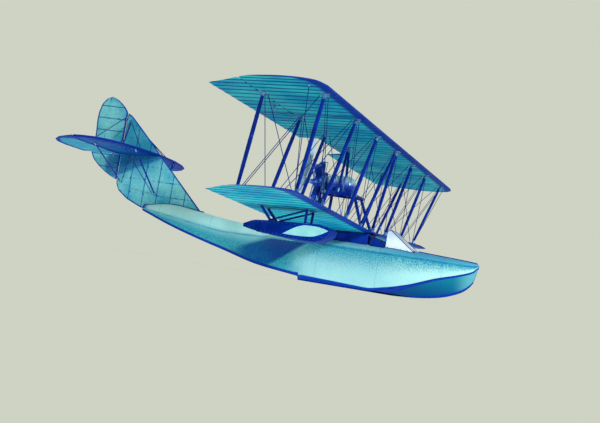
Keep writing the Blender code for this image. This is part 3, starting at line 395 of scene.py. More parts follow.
# For each look the slot of the part that it fills, and its material
LOOKS = {
    "wing": ("doped_fabric", fabric_look(
        "wing_fabric", (48, 198, 208), (4, 152, 190), (0, 36, 120), (0, 38, 146))),
    "tail": ("doped_fabric", fabric_look(
        "tail_fabric", (118, 200, 206), (44, 150, 180), (6, 74, 146), (4, 54, 156), 0.006, (0.1, 0.125),
        0.85, True)),
    "elevator": ("doped_fabric", fabric_look(
        "elevator_fabric", (118, 200, 208), (50, 154, 184), (6, 74, 146), (2, 42, 146), 0.008,
        (0.165, 0.205), 0.8)),
    "tailplane": ("doped_fabric", fabric_look(
        "tailplane_fabric", (10, 106, 168), (0, 74, 150), (0, 40, 126), (0, 32, 140), 0.006, (0.12, 0.46),
        0.5)),
    "hull": ("painted_ply", hull_look()),
    "strut": ("painted_strut", paint_look("strut_paint", (2, 46, 154), (0, 28, 118), RUBBED, 0.38, 34.0,
                                          UPRIGHT)),
    "trim": ("painted_ply", paint_look("trim_paint", (2, 48, 158), (0, 30, 126))),
    "pale_trim": ("painted_ply", paint_look("pale_trim_paint", (92, 186, 208), (58, 152, 190),
                                            (170, 226, 234))),
    "teal_trim": ("painted_ply", paint_look("teal_trim_paint", (40, 134, 176), (24, 108, 164),
                                            (120, 190, 210))),
    "hump": ("painted_ply", paint_look("hump_paint", (2, 46, 150), (0, 28, 116), RUBBED, 0.42, 20.0, ALONG)),
    "float": ("painted_float", paint_look(
        "float_paint", (0, 46, 142), (0, 30, 118), RUBBED, 0.5, 26.0, ALONG, 0.02)),
    # Pale float side panels: painted light on the float's navy sides.
    "float_side": ("painted_float", paint_look(
        "float_side_paint", (150, 208, 206), (128, 192, 200), (206, 232, 230), 0.4, 26.0, ALONG)),
    "steel": ("control_steel", metal_look("fitting_steel", (120, 168, 216), (60, 104, 176), 0.38, 0.6)),
    "wire": ("wire_steel", metal_look("wire_steel", (0, 38, 128), (0, 22, 96), 0.45, 0.1, None, 0.08)),
    "engine": ("engine_steel", metal_look("engine_steel", (26, 92, 220), (0, 40, 156), 0.36, 0.3)),
    "case": ("engine_steel", metal_look("crankcase_steel", (140, 196, 240), (36, 96, 206), 0.32, 0.3)),
    # The tank's pale top is a painted highlight.
    "tank": ("tank_metal", metal_look("tank_sheet", (14, 76, 200), (4, 44, 160), 0.3, 0.45, (1.99, 2.12))),
    "copper": ("tank_metal", metal_look("pipe_copper", (128, 186, 240), (28, 84, 196), 0.3, 0.3)),
    "leather": ("leather", leather_look("cockpit_leather", (8, 46, 134), (2, 26, 98))),
    "panel": ("panel_wood", wood_look("panel_wood", (50, 96, 160), (20, 50, 118), "Y")),
    "floor": ("panel_wood", wood_look("floor_wood", (118, 168, 192), (66, 112, 156), "X")),
    "propeller": ("propeller_wood", wood_look("propeller_wood", (186, 214, 226), (118, 164, 204), "Z", 0.3)),
    "glass": ("screen_glass", celluloid_look()),
    "dial": ("panel_wood", wood_look("dial_face", (224, 238, 242), (200, 220, 232), "Y", 0.4)),
}


# Meshes
def strips(start, count, rows, loop=False):
    """Quads between rings of count points each, of which the first starts at a vertex number."""
    faces = []
    for row in range(rows if loop else rows - 1):
        low = start + row * count
        high = start + (row + 1) % rows * count
        for at in range(count):
            after = (at + 1) % count
            faces.append((low + at, low + after, high + after, high + at))
    return faces


class Batch:
    """Small closed shapes gathered into one mesh."""

    def __init__(self):
        self.verts = []
        self.faces = []

    def loft(self, rings, loop=False):
        start = len(self.verts)
        count = len(rings[0])
        for ring in rings:
            self.verts += [Vector(point) for point in ring]
        self.faces += strips(start, count, len(rings), loop)
        if not loop:
            last = start + (len(rings) - 1) * count
            self.faces.append(tuple(range(start, start + count)))
            self.faces.append(tuple(reversed(range(last, last + count))))

    def tube(self, points, radius, sides=8, loop=False):
        """A round bar along points, of one radius or one for each point."""
        points = [Vector(point) for point in points]
        count = len(points)
        radii = radius if isinstance(radius, (list, tuple)) else [radius] * count
        rings = []
        across = None
        for at, point in enumerate(points):
            before = points[at - 1] if at or loop else point
            after = points[(at + 1) % count] if at < count - 1 or loop else point
            along = (after - before).normalized()
            if across is None:
                across = along.orthogonal().normalized()
            across = (across - along * across.dot(along)).normalized()
            other = along.cross(across)
            ring = []
            for step in range(sides):
                turn = tau * step / sides
                ring.append(point + (across * cos(turn) + other * sin(turn)) * radii[at])
            rings.append(ring)
        self.loft(rings, loop=loop)

    def turned(self, profile, origin, axis, sides=24):
        """A shape turned about an axis from a profile of distance along it and radius."""
        turn = Vector(axis).to_track_quat("Z", "Y").to_matrix()
        rings = []
        for along, radius in profile:
            ring = []
            for at in range(sides):
                angle = tau * (at + 0.5) / sides
                local = vec(radius * cos(angle), radius * sin(angle), along)
                ring.append(Vector(origin) + turn @ local)
            rings.append(ring)
        self.loft(rings)

    def box(self, centre, size, turn=None, edge=0.003):
        """A block with its edges and corners broken."""
        turn = turn or Matrix.Identity(3)
        half = [length / 2 for length in size]
        edge = min(edge, min(half) * 0.8)
        rings = []
        for z, inset in ((-half[2], edge), (-half[2] + edge, 0.0), (half[2] - edge, 0.0), (half[2], edge)):
            wide = half[0] - inset
            deep = half[1] - inset
            ring = []
            for sx, sy in ((1, 1), (-1, 1), (-1, -1), (1, -1)):
                corner = [(wide, deep - edge), (wide - edge, deep)]
                if sx * sy < 0:
                    corner.reverse()
                for x, y in corner:
                    ring.append(Vector(centre) + turn @ vec(sx * x, sy * y, z))
            rings.append(ring)
        self.loft(rings)

    def slab(self, outline, low, high, place, edge=0.0):
        """An outline of u, v made thick from w = low to w = high, with its rim broken by edge."""
        middle_u = sum(u for u, v in outline) / len(outline)
        middle_v = sum(v for u, v in outline) / len(outline)
        rings = []
        levels = ((low, edge), (low + edge, 0.0), (high - edge, 0.0), (high, edge))
        if not edge:
            levels = ((low, 0.0), (high, 0.0))
        for w, inset in levels:
            ring = []
            for u, v in outline:
                reach = hypot(u - middle_u, v - middle_v)
                share = max(0.0, 1.0 - inset / reach) if reach else 1.0
                ring.append(place(middle_u + (u - middle_u) * share, middle_v + (v - middle_v) * share, w))
            rings.append(ring)
        self.loft(rings)

    def bolt(self, base, axis, radius=0.006, height=0.006):
        washer = radius * 1.7
        self.turned(((-0.002, washer), (0.0012, washer), (0.0014, radius), (height * 0.8, radius),
                     (height, radius * 0.7)), base, axis, 6)

    def make(self, name, look, nodes="", smooth=38.0, body="airframe"):
        return make_piece(name, self.verts, self.faces, look, nodes, smooth, body)


def make_piece(name, verts, faces, look, nodes="", smooth=38.0, body="airframe"):
    """An object with its material, the body that it rides on and the nodes that it stands for."""
    mesh = bpy.data.meshes.new(name)
    mesh.from_pydata([tuple(vert) for vert in verts], [], faces)
    shape = bmesh.new()
    shape.from_mesh(mesh)
    bmesh.ops.recalc_face_normals(shape, faces=shape.faces)
    shape.to_mesh(mesh)
    shape.free()
    piece = bpy.data.objects.new(name, mesh)
    scene.collection.objects.link(piece)
    slot, paint = LOOKS[look]
    mesh.materials.append(paint)
    mesh.shade_smooth()
    mesh.set_sharp_from_angle(angle=radians(smooth))
    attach(piece, body)
    if nodes:
        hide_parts(*nodes.split())
    return piece


def evaluated(item):
    """A copy of an object's mesh with its modifiers applied."""
    bpy.context.view_layer.update()
    return bpy.data.meshes.new_from_object(item.evaluated_get(bpy.context.evaluated_depsgraph_get()))


def set_values(piece, name, values):
    """Give each vertex a number that the material reads."""
    layer = piece.data.attributes.new(name, "FLOAT", "POINT")
    layer.data.foreach_set("value", values)


def dress(node, look):
    """Give a CAD node that stays its material."""
    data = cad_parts[node].data
    data.materials.clear()
    data.materials.append(LOOKS[look][1])


# Fabric skins
def rib_rows(ribs, per_bay=5):
    """Span positions for a skin: each rib, the edges of its tape and the bays between."""
    rows = []
    for low, high in zip(ribs, ribs[1:]):
        rows.append(low)
        tape = min(0.022, (high - low) * 0.2)
        rows.append(low + tape)
        for step in range(1, per_bay):
            rows.append(low + tape + (high - low - 2 * tape) * step / per_bay)
        rows.append(high - tape)
    rows.append(ribs[-1])
    return rows


def rib_gap(ribs, at):
    """Distance to the nearest rib, and how slack the fabric is there from 0 to 1."""
    near = min(abs(at - rib) for rib in ribs)
    for low, high in zip(ribs, ribs[1:]):
        if low <= at <= high:
            share = (at - low) / (high - low)
            return near, 0.5 - 0.5 * cos(tau * share)
    return near, 0.0


def notched_rows(rows, hinges, keep=False):
    """Rows with two more at each side of a hinge slot, and whether each is in it. keep: also rows there."""
    marks = []
    for row in rows:
        gap = min(abs(row - hinge) for hinge in hinges)
        if keep or gap > SLOT_HALF + 0.001:
            marks.append((row, gap < SLOT_HALF))
    for hinge in hinges:
        for row, order in ((hinge - SLOT_HALF, (False, True)), (hinge + SLOT_HALF, (True, False))):
            marks += [(row, in_slot) for in_slot in order]
    return sorted(marks, key=lambda mark: mark[0])


def make_skin(name, look, nodes, *groups, body="airframe"):
    """Closed fabric skins over ribs, one for each group of rings.

    A ring has a low point, a high point, a rib gap and a rim distance for each place along it. Its
    vertices run along its low side and back along its high side.
    """
    rows = []
    faces = []
    for rings in groups:
        start = len(rows)
        count = 2 * len(rings[0])
        for ring in rings:
            rows += [(low, rib, rim) for low, high, rib, rim in ring]
            rows += [(high, rib, rim) for low, high, rib, rim in reversed(ring)]
        faces += strips(start, count, len(rings))
        for base in (start, len(rows) - count):
            for at in range(count // 2 - 1):
                faces.append((base + at, base + at + 1, base + count - 2 - at, base + count - 1 - at))
    verts, rib_gaps, rims = zip(*rows)
    piece = make_piece(name, verts, faces, look, nodes, 50.0, body)
    set_values(piece, "rib", rib_gaps)
    set_values(piece, "rim", rims)


def under_z(wing, x, y):
    """Height of a wing's flat underside."""
    return wing["under_z"] + INCIDENCE * (x - wing["spar_x"]) + wing["dihedral"] * abs(y)


section_height = smooth_through([(sqrt(along), height) for along, height in SECTION])


def top_z(wing, x, y):
    """Height of the top of a wing where its chord is full."""
    chord = wing["lead"] - wing["trail"]
    return under_z(wing, x, y) + chord * section_height(sqrt((wing["lead"] - x) / chord))


def wing_heights(wing, x, y, lead, trail, share):
    """Heights of the two sides of a wing section."""
    chord = lead - trail
    along = max(0.0, min(1.0, (lead - x) / chord))
    base = under_z(wing, x, y)
    lift = 0.0
    if along < NOSE_UNDER:
        lift = 0.011 * (1.0 - sqrt(max(0.0, 1.0 - (1.0 - along / NOSE_UNDER) ** 2)))
    high = max(section_height(sqrt(along)), lift + 0.0005)
    return base + lift * chord * share, base + high * chord * share


def wing_ring(wing, side, y, edges, ribs, tip_y, fore=None, back=None, points=30, slack=0.007):
    """One ring of a wing skin, from back to fore."""
    lead = edges["lead"](y)
    trail = edges["trail"](y)
    share = edges["share"](y)
    near, loose = rib_gap(ribs, y)
    x_fore = lead if fore is None else fore
    x_back = trail if back is None else max(back, trail)
    if back is None:
        x_back += 0.005 * loose
    ring = []
    for step in range(points + 1):
        part = step / points
        if fore is None:
            x = x_fore - (x_fore - x_back) * (1.0 - part) ** 1.7
        else:
            x = x_back + (x_fore - x_back) * (1.0 - (1.0 - part) ** 1.5)
        low, high = wing_heights(wing, x, y, lead, trail, share)
        sag = slack * loose * min(1.0, max(0.0, (lead - x - 0.1) / 0.25))
        sag = min(sag, 0.18 * (high - low))
        if fore is not None:
            round_off = max(0.0, 1.0 - (x_fore - x) / 0.028)
            pinch = 0.5 * (high - low) * (1.0 - sqrt(max(0.0, 1.0 - round_off ** 2))) * 0.86
            low += pinch
            high -= pinch
        low_point = vec(x, side * y, low + sag)
        high_point = vec(x, side * y, high - sag)
        ring.append((low_point, high_point, near, min(lead - x, (tip_y - y) * 1.3 + 0.06)))
    return ring


def edge_line(rows, column):
    """One column of a wing's rows against span: straight to the second row, then curved to the tip."""
    flat = straight_through([(row[0], row[column]) for row in rows[:2]])
    curve = smooth_through([(row[0], row[column]) for row in rows[1:]])
    return lambda y: flat(y) if y < rows[1][0] else curve(y)


def edge_functions(wing, root, tip):
    """Leading edge, trailing edge and thickness share of a wing against span."""
    rows = [(root, wing["lead"], wing["trail"], 1.0), *tip]
    return {name: edge_line(rows, column) for column, name in ((1, "lead"), (2, "trail"), (3, "share"))}


def spaced(low, high, bays):
    return [low + (high - low) * bay / bays for bay in range(bays + 1)]


UPPER_RIBS = spaced(1.05, 1.75, 2) + spaced(1.75, 3.4, 6)[1:] + spaced(3.4, 5.45, 7)[1:]
UPPER_RIBS += [5.7, 5.95, 6.18, 6.38]
LOWER_RIBS = spaced(0.85, 1.75, 3) + spaced(1.75, 3.4, 6)[1:] + spaced(3.4, 4.95, 5)[1:]
LOWER_RIBS += [5.25, 5.52, 5.74, 5.91]


def tip_rows(ribs, tip_y):
    """Rows that close in on the wing tip."""
    last = ribs[-1]
    return [last + (tip_y - last) * (1.0 - (1.0 - step / 7.0) ** 1.6) for step in range(1, 8)]


def make_upper_panel(side, end):
    tip_y = UPPER_TIP[-1][0]
    edges = edge_functions(UPPER, 1.05, UPPER_TIP)
    ribs = [rib for rib in UPPER_RIBS if rib < AILERON_IN] + [AILERON_IN]
    inner = [wing_ring(UPPER, side, y, edges, ribs, tip_y) for y in rib_rows(ribs)]
    ribs = [AILERON_IN] + [rib for rib in UPPER_RIBS if rib > AILERON_IN + 0.05]
    rows = rib_rows(ribs) + tip_rows(ribs, tip_y)
    back = AILERON_X + 0.02
    outer = [wing_ring(UPPER, side, y, edges, ribs, tip_y, back=back) for y in rows]
    make_skin("upper_wing_skin_" + end, "wing", "upper_wing_" + end, inner, outer)
    ribs = [AILERON_IN + 0.012] + ribs[1:-1]
    rows = [y for y in rib_rows(ribs) + tip_rows(ribs, 6.37) if y < 6.37]
    rings = []
    for y, in_slot in notched_rows(rows, AILERON_HINGES, True):
        fore = AILERON_X - (SLOT_DEEP if in_slot else 0.0)
        rings.append(wing_ring(UPPER, side, y, edges, ribs, tip_y, fore=fore, points=22))
    make_skin("aileron_skin_" + end, "wing", "aileron_" + end, rings, body="aileron_" + end)


def make_lower_panel(side, end):
    tip_y = LOWER_TIP[-1][0]
    edges = edge_functions(LOWER, 0.85, LOWER_TIP)
    rows = rib_rows(LOWER_RIBS) + tip_rows(LOWER_RIBS, tip_y)
    rings = [wing_ring(LOWER, side, y, edges, LOWER_RIBS, tip_y) for y in rows]
    make_skin("lower_wing_skin_" + end, "wing", "lower_wing_" + end, rings)


def make_centre(wing, root, cut, bays, name):
    """A centre section, with its rear edge cut forward to clear the propeller."""
    half = root - 0.001
    flat = {"lead": lambda y: wing["lead"], "trail": lambda y: wing["trail"], "share": lambda y: 1.0}
    ribs = spaced(-half, half, bays)
    rings = []
    for y in rib_rows(ribs):
        near, loose = rib_gap(ribs, y)
        ring = wing_ring(wing, 1.0, abs(y), flat, [0.0, 50.0], 50.0, back=cut, slack=0.0)
        dip = 0.007 * loose
        moved = []
        for low, high, rib, rim in ring:
            sag = min(dip * min(1.0, max(0.0, (wing["lead"] - low.x - 0.1) / 0.25)), 0.18 * (high.z - low.z))
            moved.append((vec(low.x, y, low.z + sag), vec(high.x, y, high.z - sag), near, rim))
        rings.append(moved)
    make_skin(name + "_skin", "wing", name, rings)


# Hull
HULL_COLUMNS = ("keel_z", "chine_y", "chine_z", "sheer_y", "sheer_z", "deck_z")


def hull_lines(rows):
    return {name: smooth_through([(row[0], row[column + 1]) for row in rows])
            for column, name in enumerate(HULL_COLUMNS)}


FORE_LINES = hull_lines(HULL_FRAMES[:STEP_ROW])
AFT_LINES = hull_lines(HULL_FRAMES[STEP_ROW:])
STEP_X = 0.89


def hull_at(x):
    """Keel, chine, sheer and deck of the hull at x."""
    lines = FORE_LINES if x > STEP_X else AFT_LINES
    return {name: line(x) for name, line in lines.items()}


def deck_flat(at):
    """Half the width of the flat middle of the deck."""
    return min(0.055, at["sheer_y"] * 0.6)


def hull_ring(x):
    """One frame of the hull: keel, bottom, side, deck, and the same back down the other side."""
    at = hull_at(x)
    half = []
    for step in range(7):
        share = step / 6.0
        half.append((at["chine_y"] * share, at["keel_z"] + (at["chine_z"] - at["keel_z"]) * share))
    height = at["sheer_z"] - at["chine_z"]
    for step in range(1, 13):
        share = step / 12.0
        bulge = 0.01 * sin(pi * share) * min(1.0, height / 0.3)
        half.append((at["chine_y"] + (at["sheer_y"] - at["chine_y"]) * share + bulge,
                     at["chine_z"] + height * share))
    flat = deck_flat(at)
    for step in range(1, 9):
        turn = radians(90.0 * step / 8.0)
        half.append((flat + (at["sheer_y"] - flat) * cos(turn) - flat * (step == 8),
                     at["sheer_z"] + (at["deck_z"] - at["sheer_z"]) * sin(turn)))
    ring = [vec(x, y, z) for y, z in half]
    ring += [vec(x, -y, z) for y, z in reversed(half[1:-1])]
    return ring


# Height of the navy belt above the chine
BELT = straight_through([(-2.85, 0.045), (-1.0, 0.055), (0.87, 0.06), (0.91, 0.115), (1.6, 0.095),
                         (2.6, 0.06), (3.1, 0.03), (3.6, 0.022), (4.3, 0.016)])


def make_hull():
    xs = [4.3 - 0.4 * (step / 16.0) ** 1.4 for step in range(17)]
    xs += spaced(3.9, 0.9, 34)[1:] + spaced(0.88, -2.85, 42)
    batch = Batch()
    batch.loft([hull_ring(x) for x in xs])
    hull = batch.make("hull_shell", "hull", "hull", 32.0)
    cutter = Batch()
    cutter.box((2.505, 0.0, 0.91), (0.71, 0.66, 1.5), edge=0.05)
    tool = cutter.make("tool", "hull")
    cut = hull.modifiers.new("cut", "BOOLEAN")
    cut.operation = "DIFFERENCE"
    cut.object = tool
    result = evaluated(hull)
    hull.modifiers.clear()
    hull.data = result
    bpy.data.objects.remove(tool)
    result.set_sharp_from_angle(angle=radians(32.0))
    girths = []
    belts = []
    for vert in result.vertices:
        at = hull_at(vert.co.x)
        z = vert.co.z
        if z > at["sheer_z"]:
            girth = 1.0 + (z - at["sheer_z"]) / max(0.001, at["deck_z"] - at["sheer_z"])
        elif z < at["chine_z"] - 0.0005:
            girth = min(1.0, abs(vert.co.y) / at["chine_y"]) - 1.0
        else:
            girth = (z - at["chine_z"]) / (at["sheer_z"] - at["chine_z"])
        girths.append(girth)
        belts.append((z - at["chine_z"]) / BELT(vert.co.x))
    set_values(hull, "girth", girths)
    set_values(hull, "belt", belts)


def hull_line(kind, xs, out=0.0, up=0.0, side=1.0):
    """Points along the chine, sheer or keel."""
    points = []
    for x in xs:
        at = hull_at(x)
        if kind == "keel":
            points.append(vec(x, 0.0, at["keel_z"] + up))
        else:
            points.append(vec(x, side * (at[kind + "_y"] + out), at[kind + "_z"] + up))
    return points


def make_hull_trim():
    """Rubbing strakes on the sheer and chine, a keel band and a stem band."""
    batch = Batch()
    fore = spaced(4.28, 0.905, 60)
    aft = spaced(0.875, -2.84, 60)
    pale = Batch()
    teal = Batch()
    for side in (1.0, -1.0):
        teal.tube(hull_line("sheer", spaced(4.28, 0.7, 70), 0.004, 0.0, side), 0.011, 8)
        pale.tube(hull_line("sheer", spaced(0.7, -2.83, 70), 0.004, 0.0, side), 0.01, 8)
        batch.tube(hull_line("chine", fore, 0.0, 0.0105, side), 0.01, 8)
        batch.tube(hull_line("chine", aft, 0.0, 0.008, side), 0.009, 8)
    pale.make("hull_aft_strakes", "pale_trim", smooth=50.0)
    teal.make("hull_fore_strakes", "teal_trim", smooth=50.0)
    batch.tube(hull_line("keel", spaced(4.24, 2.62, 30), 0.0, 0.011), 0.012, 8)
    batch.tube(hull_line("keel", spaced(0.86, -2.8, 40), 0.0, 0.004), 0.012, 8)
    stem = [vec(4.294, 0.0, z) for z in (0.845, 0.8, 0.765)]
    batch.tube(stem, 0.012, 8)
    batch.make("hull_strakes", "trim", smooth=50.0)
    nails = Batch()
    for side in (1.0, -1.0):
        for point in hull_line("sheer", spaced(4.15, -2.7, 76), 0.01, -0.028, side):
            nails.turned(((-0.004, 0.006), (0.002, 0.0055), (0.0035, 0.002)), point, (0.0, side, 0.0), 8)
    deck = smooth_through([(row[0], row[6]) for row in HULL_FRAMES])
    batten = Batch()
    batten.tube([(x, 0.0, deck(x) + 0.003) for x in spaced(3.1, 4.27, 40)], 0.017, 10)
    batten.make("deck_ridge_batten", "trim", smooth=50.0)
    for x in (3.35, 3.75):
        for y in (-0.055, 0.055):
            nails.turned(((-0.004, 0.017), (0.003, 0.016), (0.004, 0.007), (0.007, 0.003)),
                         (x, y, deck(x) - 0.002), UP, 18)
    nails.make("deck_fittings", "steel")


def make_hump():
    """Decked step under the wing, with a bolted access door on each side."""
    xs = (2.138, 2.134, 2.115, 1.8, 1.4, 1.05, 0.99, 0.9, 0.8)
    wide = (0.335, 0.352, 0.362, 0.362, 0.362, 0.358, 0.35, 0.335, 0.315)
    rings = []
    for x, half in zip(xs, wide):
        if x >= 0.98:
            top = under_z(LOWER, x, 0.0) - 0.002
        else:
            top = 0.93 + (under_z(LOWER, 0.98, 0.0) - 0.93) * ((x - 0.8) / 0.18) ** 0.8
        ring = [(half, 0.8), (half, top - 0.03), (half - 0.006, top - 0.009), (half - 0.02, top)]
        ring += [(-y, z) for y, z in reversed(ring)]
        rings.append([vec(x, y, z) for y, z in ring])
    batch = Batch()
    batch.loft(rings)
    batch.make("hump_shell", "hump", "hull")
    trim = Batch()
    for side in (1.0, -1.0):
        trim.box((1.56, side * 0.366, 0.995), (0.34, 0.012, 0.115), edge=0.005)
        for x in (1.41, 1.71):
            for z in (0.955, 1.035):
                trim.bolt((x, side * 0.372, z), (0.0, side, 0.0), 0.005, 0.004)
    trim.make("hump_doors", "trim")


def make_coaming():
    """The board round the cockpit's rim and its leather roll."""
    aft = 2.155
    fore = 2.49
    bend = 0.1
    bend_y = 0.285

    def rim_path(inset, count=9):
        radius = bend - inset
        path = [(fore, bend_y + bend - inset)]
        for step in range(count):
            turn = radians(90.0 * step / (count - 1))
            path.append((aft + bend - radius * sin(turn), bend_y + radius * cos(turn)))
        return path + [(x, -y) for x, y in reversed(path)]

    def rim_z(x):
        return 1.095 + (0.985 - 1.095) * (x - aft) / (fore - aft)

    outer = rim_path(0.0)
    inner = rim_path(0.022)
    rings = []
    for (ox, oy), (ix, iy) in zip(outer, inner):
        rings.append([vec(ox, oy, 0.86), vec(ox, oy, rim_z(ox) - 0.03), vec(ix, iy, rim_z(ix) - 0.03),
                      vec(ix, iy, 0.86)])
    batch = Batch()
    batch.loft(rings)
    batch.make("coaming_board", "hump", "cockpit_coaming")
    roll = Batch()
    middle = [((ox + ix) / 2, (oy + iy) / 2) for (ox, oy), (ix, iy) in zip(outer, inner)]
    path = []
    for (x0, y0), (x1, y1) in zip(middle, middle[1:]):
        pieces = max(1, int(hypot(x1 - x0, y1 - y0) / 0.012))
        for step in range(pieces):
            share = step / pieces
            path.append((x0 + (x1 - x0) * share, y0 + (y1 - y0) * share))
    path.append(middle[-1])
    radii = []
    for step in range(len(path)):
        end = min(step, len(path) - 1 - step)
        radii.append(0.0235 * (1.0 - 0.1 * cos(tau * step / 5.0)) * min(1.0, 0.45 + end * 0.2))
    roll.tube([(x, y, rim_z(x) - 0.022) for x, y in path], radii, 14)
    pad = roll.make("coaming_roll", "leather", "cockpit_coaming", 60.0)


def make_lining():
    """Boards on the cockpit's bottom and sides, with two ribs on each side."""
    lining = Batch()
    for y in spaced(-0.27, 0.27, 6):
        lining.box((2.505, y, 0.172), (0.7, 0.084, 0.018), edge=0.003)
    for side in (1.0, -1.0):
        lining.box((2.505, side * 0.322, 0.52), (0.7, 0.01, 0.66), edge=0.002)
        for x in (2.3, 2.66):
            lining.box((x, side * 0.312, 0.52), (0.028, 0.014, 0.66), edge=0.003)
    lining.box((2.163, 0.0, 0.52), (0.01, 0.63, 0.66), edge=0.002)
    lining.make("cockpit_lining", "floor")


# Dials on the instrument panel: place across, height and radius
DIALS = ((0.0, 0.775, 0.052), (0.15, 0.77, 0.042), (-0.15, 0.77, 0.042), (0.25, 0.8, 0.026),
         (-0.25, 0.8, 0.026))


def make_panel():
    """The instrument panel with plain dials."""
    panel = Batch()
    panel.box((2.8475, 0.0, 0.765), (0.024, 0.6, 0.21), edge=0.006)
    panel.make("panel_board", "panel", "instrument_panel")
    faces = Batch()
    rims = Batch()
    for y, z, radius in DIALS:
        faces.turned(((-0.002, radius), (0.002, radius), (0.003, radius * 0.98)), (2.834, y, z), AFT, 32)
        profile = ((-0.004, 0.99), (0.004, 1.1), (0.008, 1.08), (0.008, 0.96), (0.0015, 0.95))
        rims.turned([(along, radius * share) for along, share in profile], (2.836, y, z), AFT, 32)
        for tick in range(12):
            turn = tau * tick / 12
            out = vec(0.0, cos(turn), sin(turn))
            turned = Matrix((Vector(AXLE), out, out.cross(Vector(AXLE)))).transposed()
            rims.box(vec(2.8305, y, z) + out * radius * 0.8, (0.001, radius * 0.14, 0.0016), turned, 0.0002)
        rims.tube([(2.8298, y, z), (2.8298, y + radius * 0.35, z + radius * 0.55)], [0.0018, 0.0007], 6)
        rims.turned(((0.0, 0.004), (0.003, 0.003)), (2.8305, y, z), AFT, 12)
    faces.make("dial_faces", "dial")
    rims.make("dial_rims", "steel")


def pillow(low, high, axis, crown=0.12, count=22):
    """A plain closed cover between two corners, thin along one axis and crowned on both faces."""
    centre = (Vector(low) + Vector(high)) / 2
    half = (Vector(high) - Vector(low)) / 2
    wide = (axis + 1) % 3
    tall = (axis + 2) % 3
    grid = {}
    verts = []
    faces = []

    def drawn_in(size, across):
        """A half width, less at its middle and at the corners."""
        return size * (1.0 - 0.045 * (1.0 - across * across)) * (0.965 + 0.035 * (1.0 - abs(across) ** 8))

    for face in (1.0, -1.0):
        for i in range(count + 1):
            for j in range(count + 1):
                u = -1.0 + 2.0 * i / count
                v = -1.0 + 2.0 * j / count
                border = i in (0, count) or j in (0, count)
                if border and face < 0:
                    grid[face, i, j] = grid[1.0, i, j]
                    continue
                puff = ((1.0 - abs(u) ** 5) * (1.0 - abs(v) ** 5)) ** 0.38
                puff *= 1.0 - crown * (u * u + v * v) / 2
                point = [0.0, 0.0, 0.0]
                point[axis] = face * half[axis] * puff
                point[wide] = drawn_in(u * half[wide], v)
                point[tall] = drawn_in(v * half[tall], u)
                grid[face, i, j] = len(verts)
                verts.append(centre + Vector(point))
    for face in (1.0, -1.0):
        for i in range(count):
            for j in range(count):
                corners = ((i, j), (i + 1, j), (i + 1, j + 1), (i, j + 1))
                quad = [grid[face, a, b] for a, b in corners]
                faces.append(tuple(quad if face > 0 else reversed(quad)))
    return verts, faces


def stuffed(verts, faces, cap=0.007, voxel=0.009):
    """The cover filled under pressure by a short cloth simulation. No point moves further than the cap."""
    cover = bpy.data.meshes.new("cover")
    cover.from_pydata([tuple(point) for point in verts], [], faces)
    item = bpy.data.objects.new("cover", cover)
    scene.collection.objects.link(item)
    remesh = item.modifiers.new("remesh", "REMESH")
    remesh.mode = "VOXEL"
    remesh.voxel_size = voxel
    fine = evaluated(item)
    item.modifiers.clear()
    item.data = fine
    before = [vert.co.copy() for vert in fine.vertices]
    cloth = item.modifiers.new("cloth", "CLOTH")
    cloth.settings.use_pressure = True
    cloth.settings.uniform_pressure_force = 4.0
    cloth.settings.effector_weights.gravity = 0.0
    for frame_number in range(1, 21):
        scene.frame_set(frame_number)
    filled = evaluated(item)
    points = []
    for old, vert in zip(before, filled.vertices):
        move = vert.co - old
        if move.length > cap:
            move = move.normalized() * cap
        points.append(old + move)
    around_faces = [tuple(face.vertices) for face in filled.polygons]
    bpy.data.objects.remove(item)
    scene.frame_set(1)
    return points, around_faces


def sewn(points, low, high, axis, channels):
    """The points with sewn channels pressed in across the pad."""
    centre = (Vector(low) + Vector(high)) / 2
    half = (Vector(high) - Vector(low)) / 2
    wide = (axis + 1) % 3
    for point in points:
        u = (point[wide] - centre[wide]) / half[wide]
        press = 1.0
        for channel in range(1, channels):
            line = -1.0 + 2.0 * channel / channels
            press = min(press, 0.66 + 0.34 * min(1.0, abs(u - line) / 0.16) ** 0.7)
        point[axis] = centre[axis] + (point[axis] - centre[axis]) * press
    return points


SEAT_PADS = (("seat_pad_", (2.207, -0.123, 0.347), (2.568, 0.123, 0.407), 2),
             ("seat_back_pad_", (2.188, -0.123, 0.412), (2.243, 0.123, 0.785), 0))


def make_seats():
    pads = []
    for name, low, high, axis in SEAT_PADS:
        verts, faces = pillow(low, high, axis)
        verts, faces = stuffed(verts, faces)
        pads.append((name, sewn(verts, low, high, axis, 5), faces))
    for side, end in SIDES:
        middle = side * 0.165
        shell = Batch()
        shell.box((2.385, middle, 0.255), (0.35, 0.285, 0.175), edge=0.01)
        shell.box((2.172, middle, 0.5), (0.018, 0.285, 0.58), edge=0.006)
        for across in (1.0, -1.0):
            shell.box((2.3, middle + across * 0.14, 0.42), (0.25, 0.012, 0.16), edge=0.004)
        shell.make("seat_frame_" + end, "floor", "seat_" + end)
        for name, verts, faces in pads:
            moved = [vert + vec(0.0, middle, 0.0) for vert in verts]
            pad = make_piece(name + end, moved, faces, "leather", "seat_" + end, 75.0)


def deck_height(x, y):
    """Height of the deck over one point."""
    at = hull_at(x)
    flat = deck_flat(at)
    level = max(0.0, min(1.0, (abs(y) - flat) / (at["sheer_y"] - flat)))
    return at["sheer_z"] + (at["deck_z"] - at["sheer_z"]) * sqrt(1.0 - level * level)


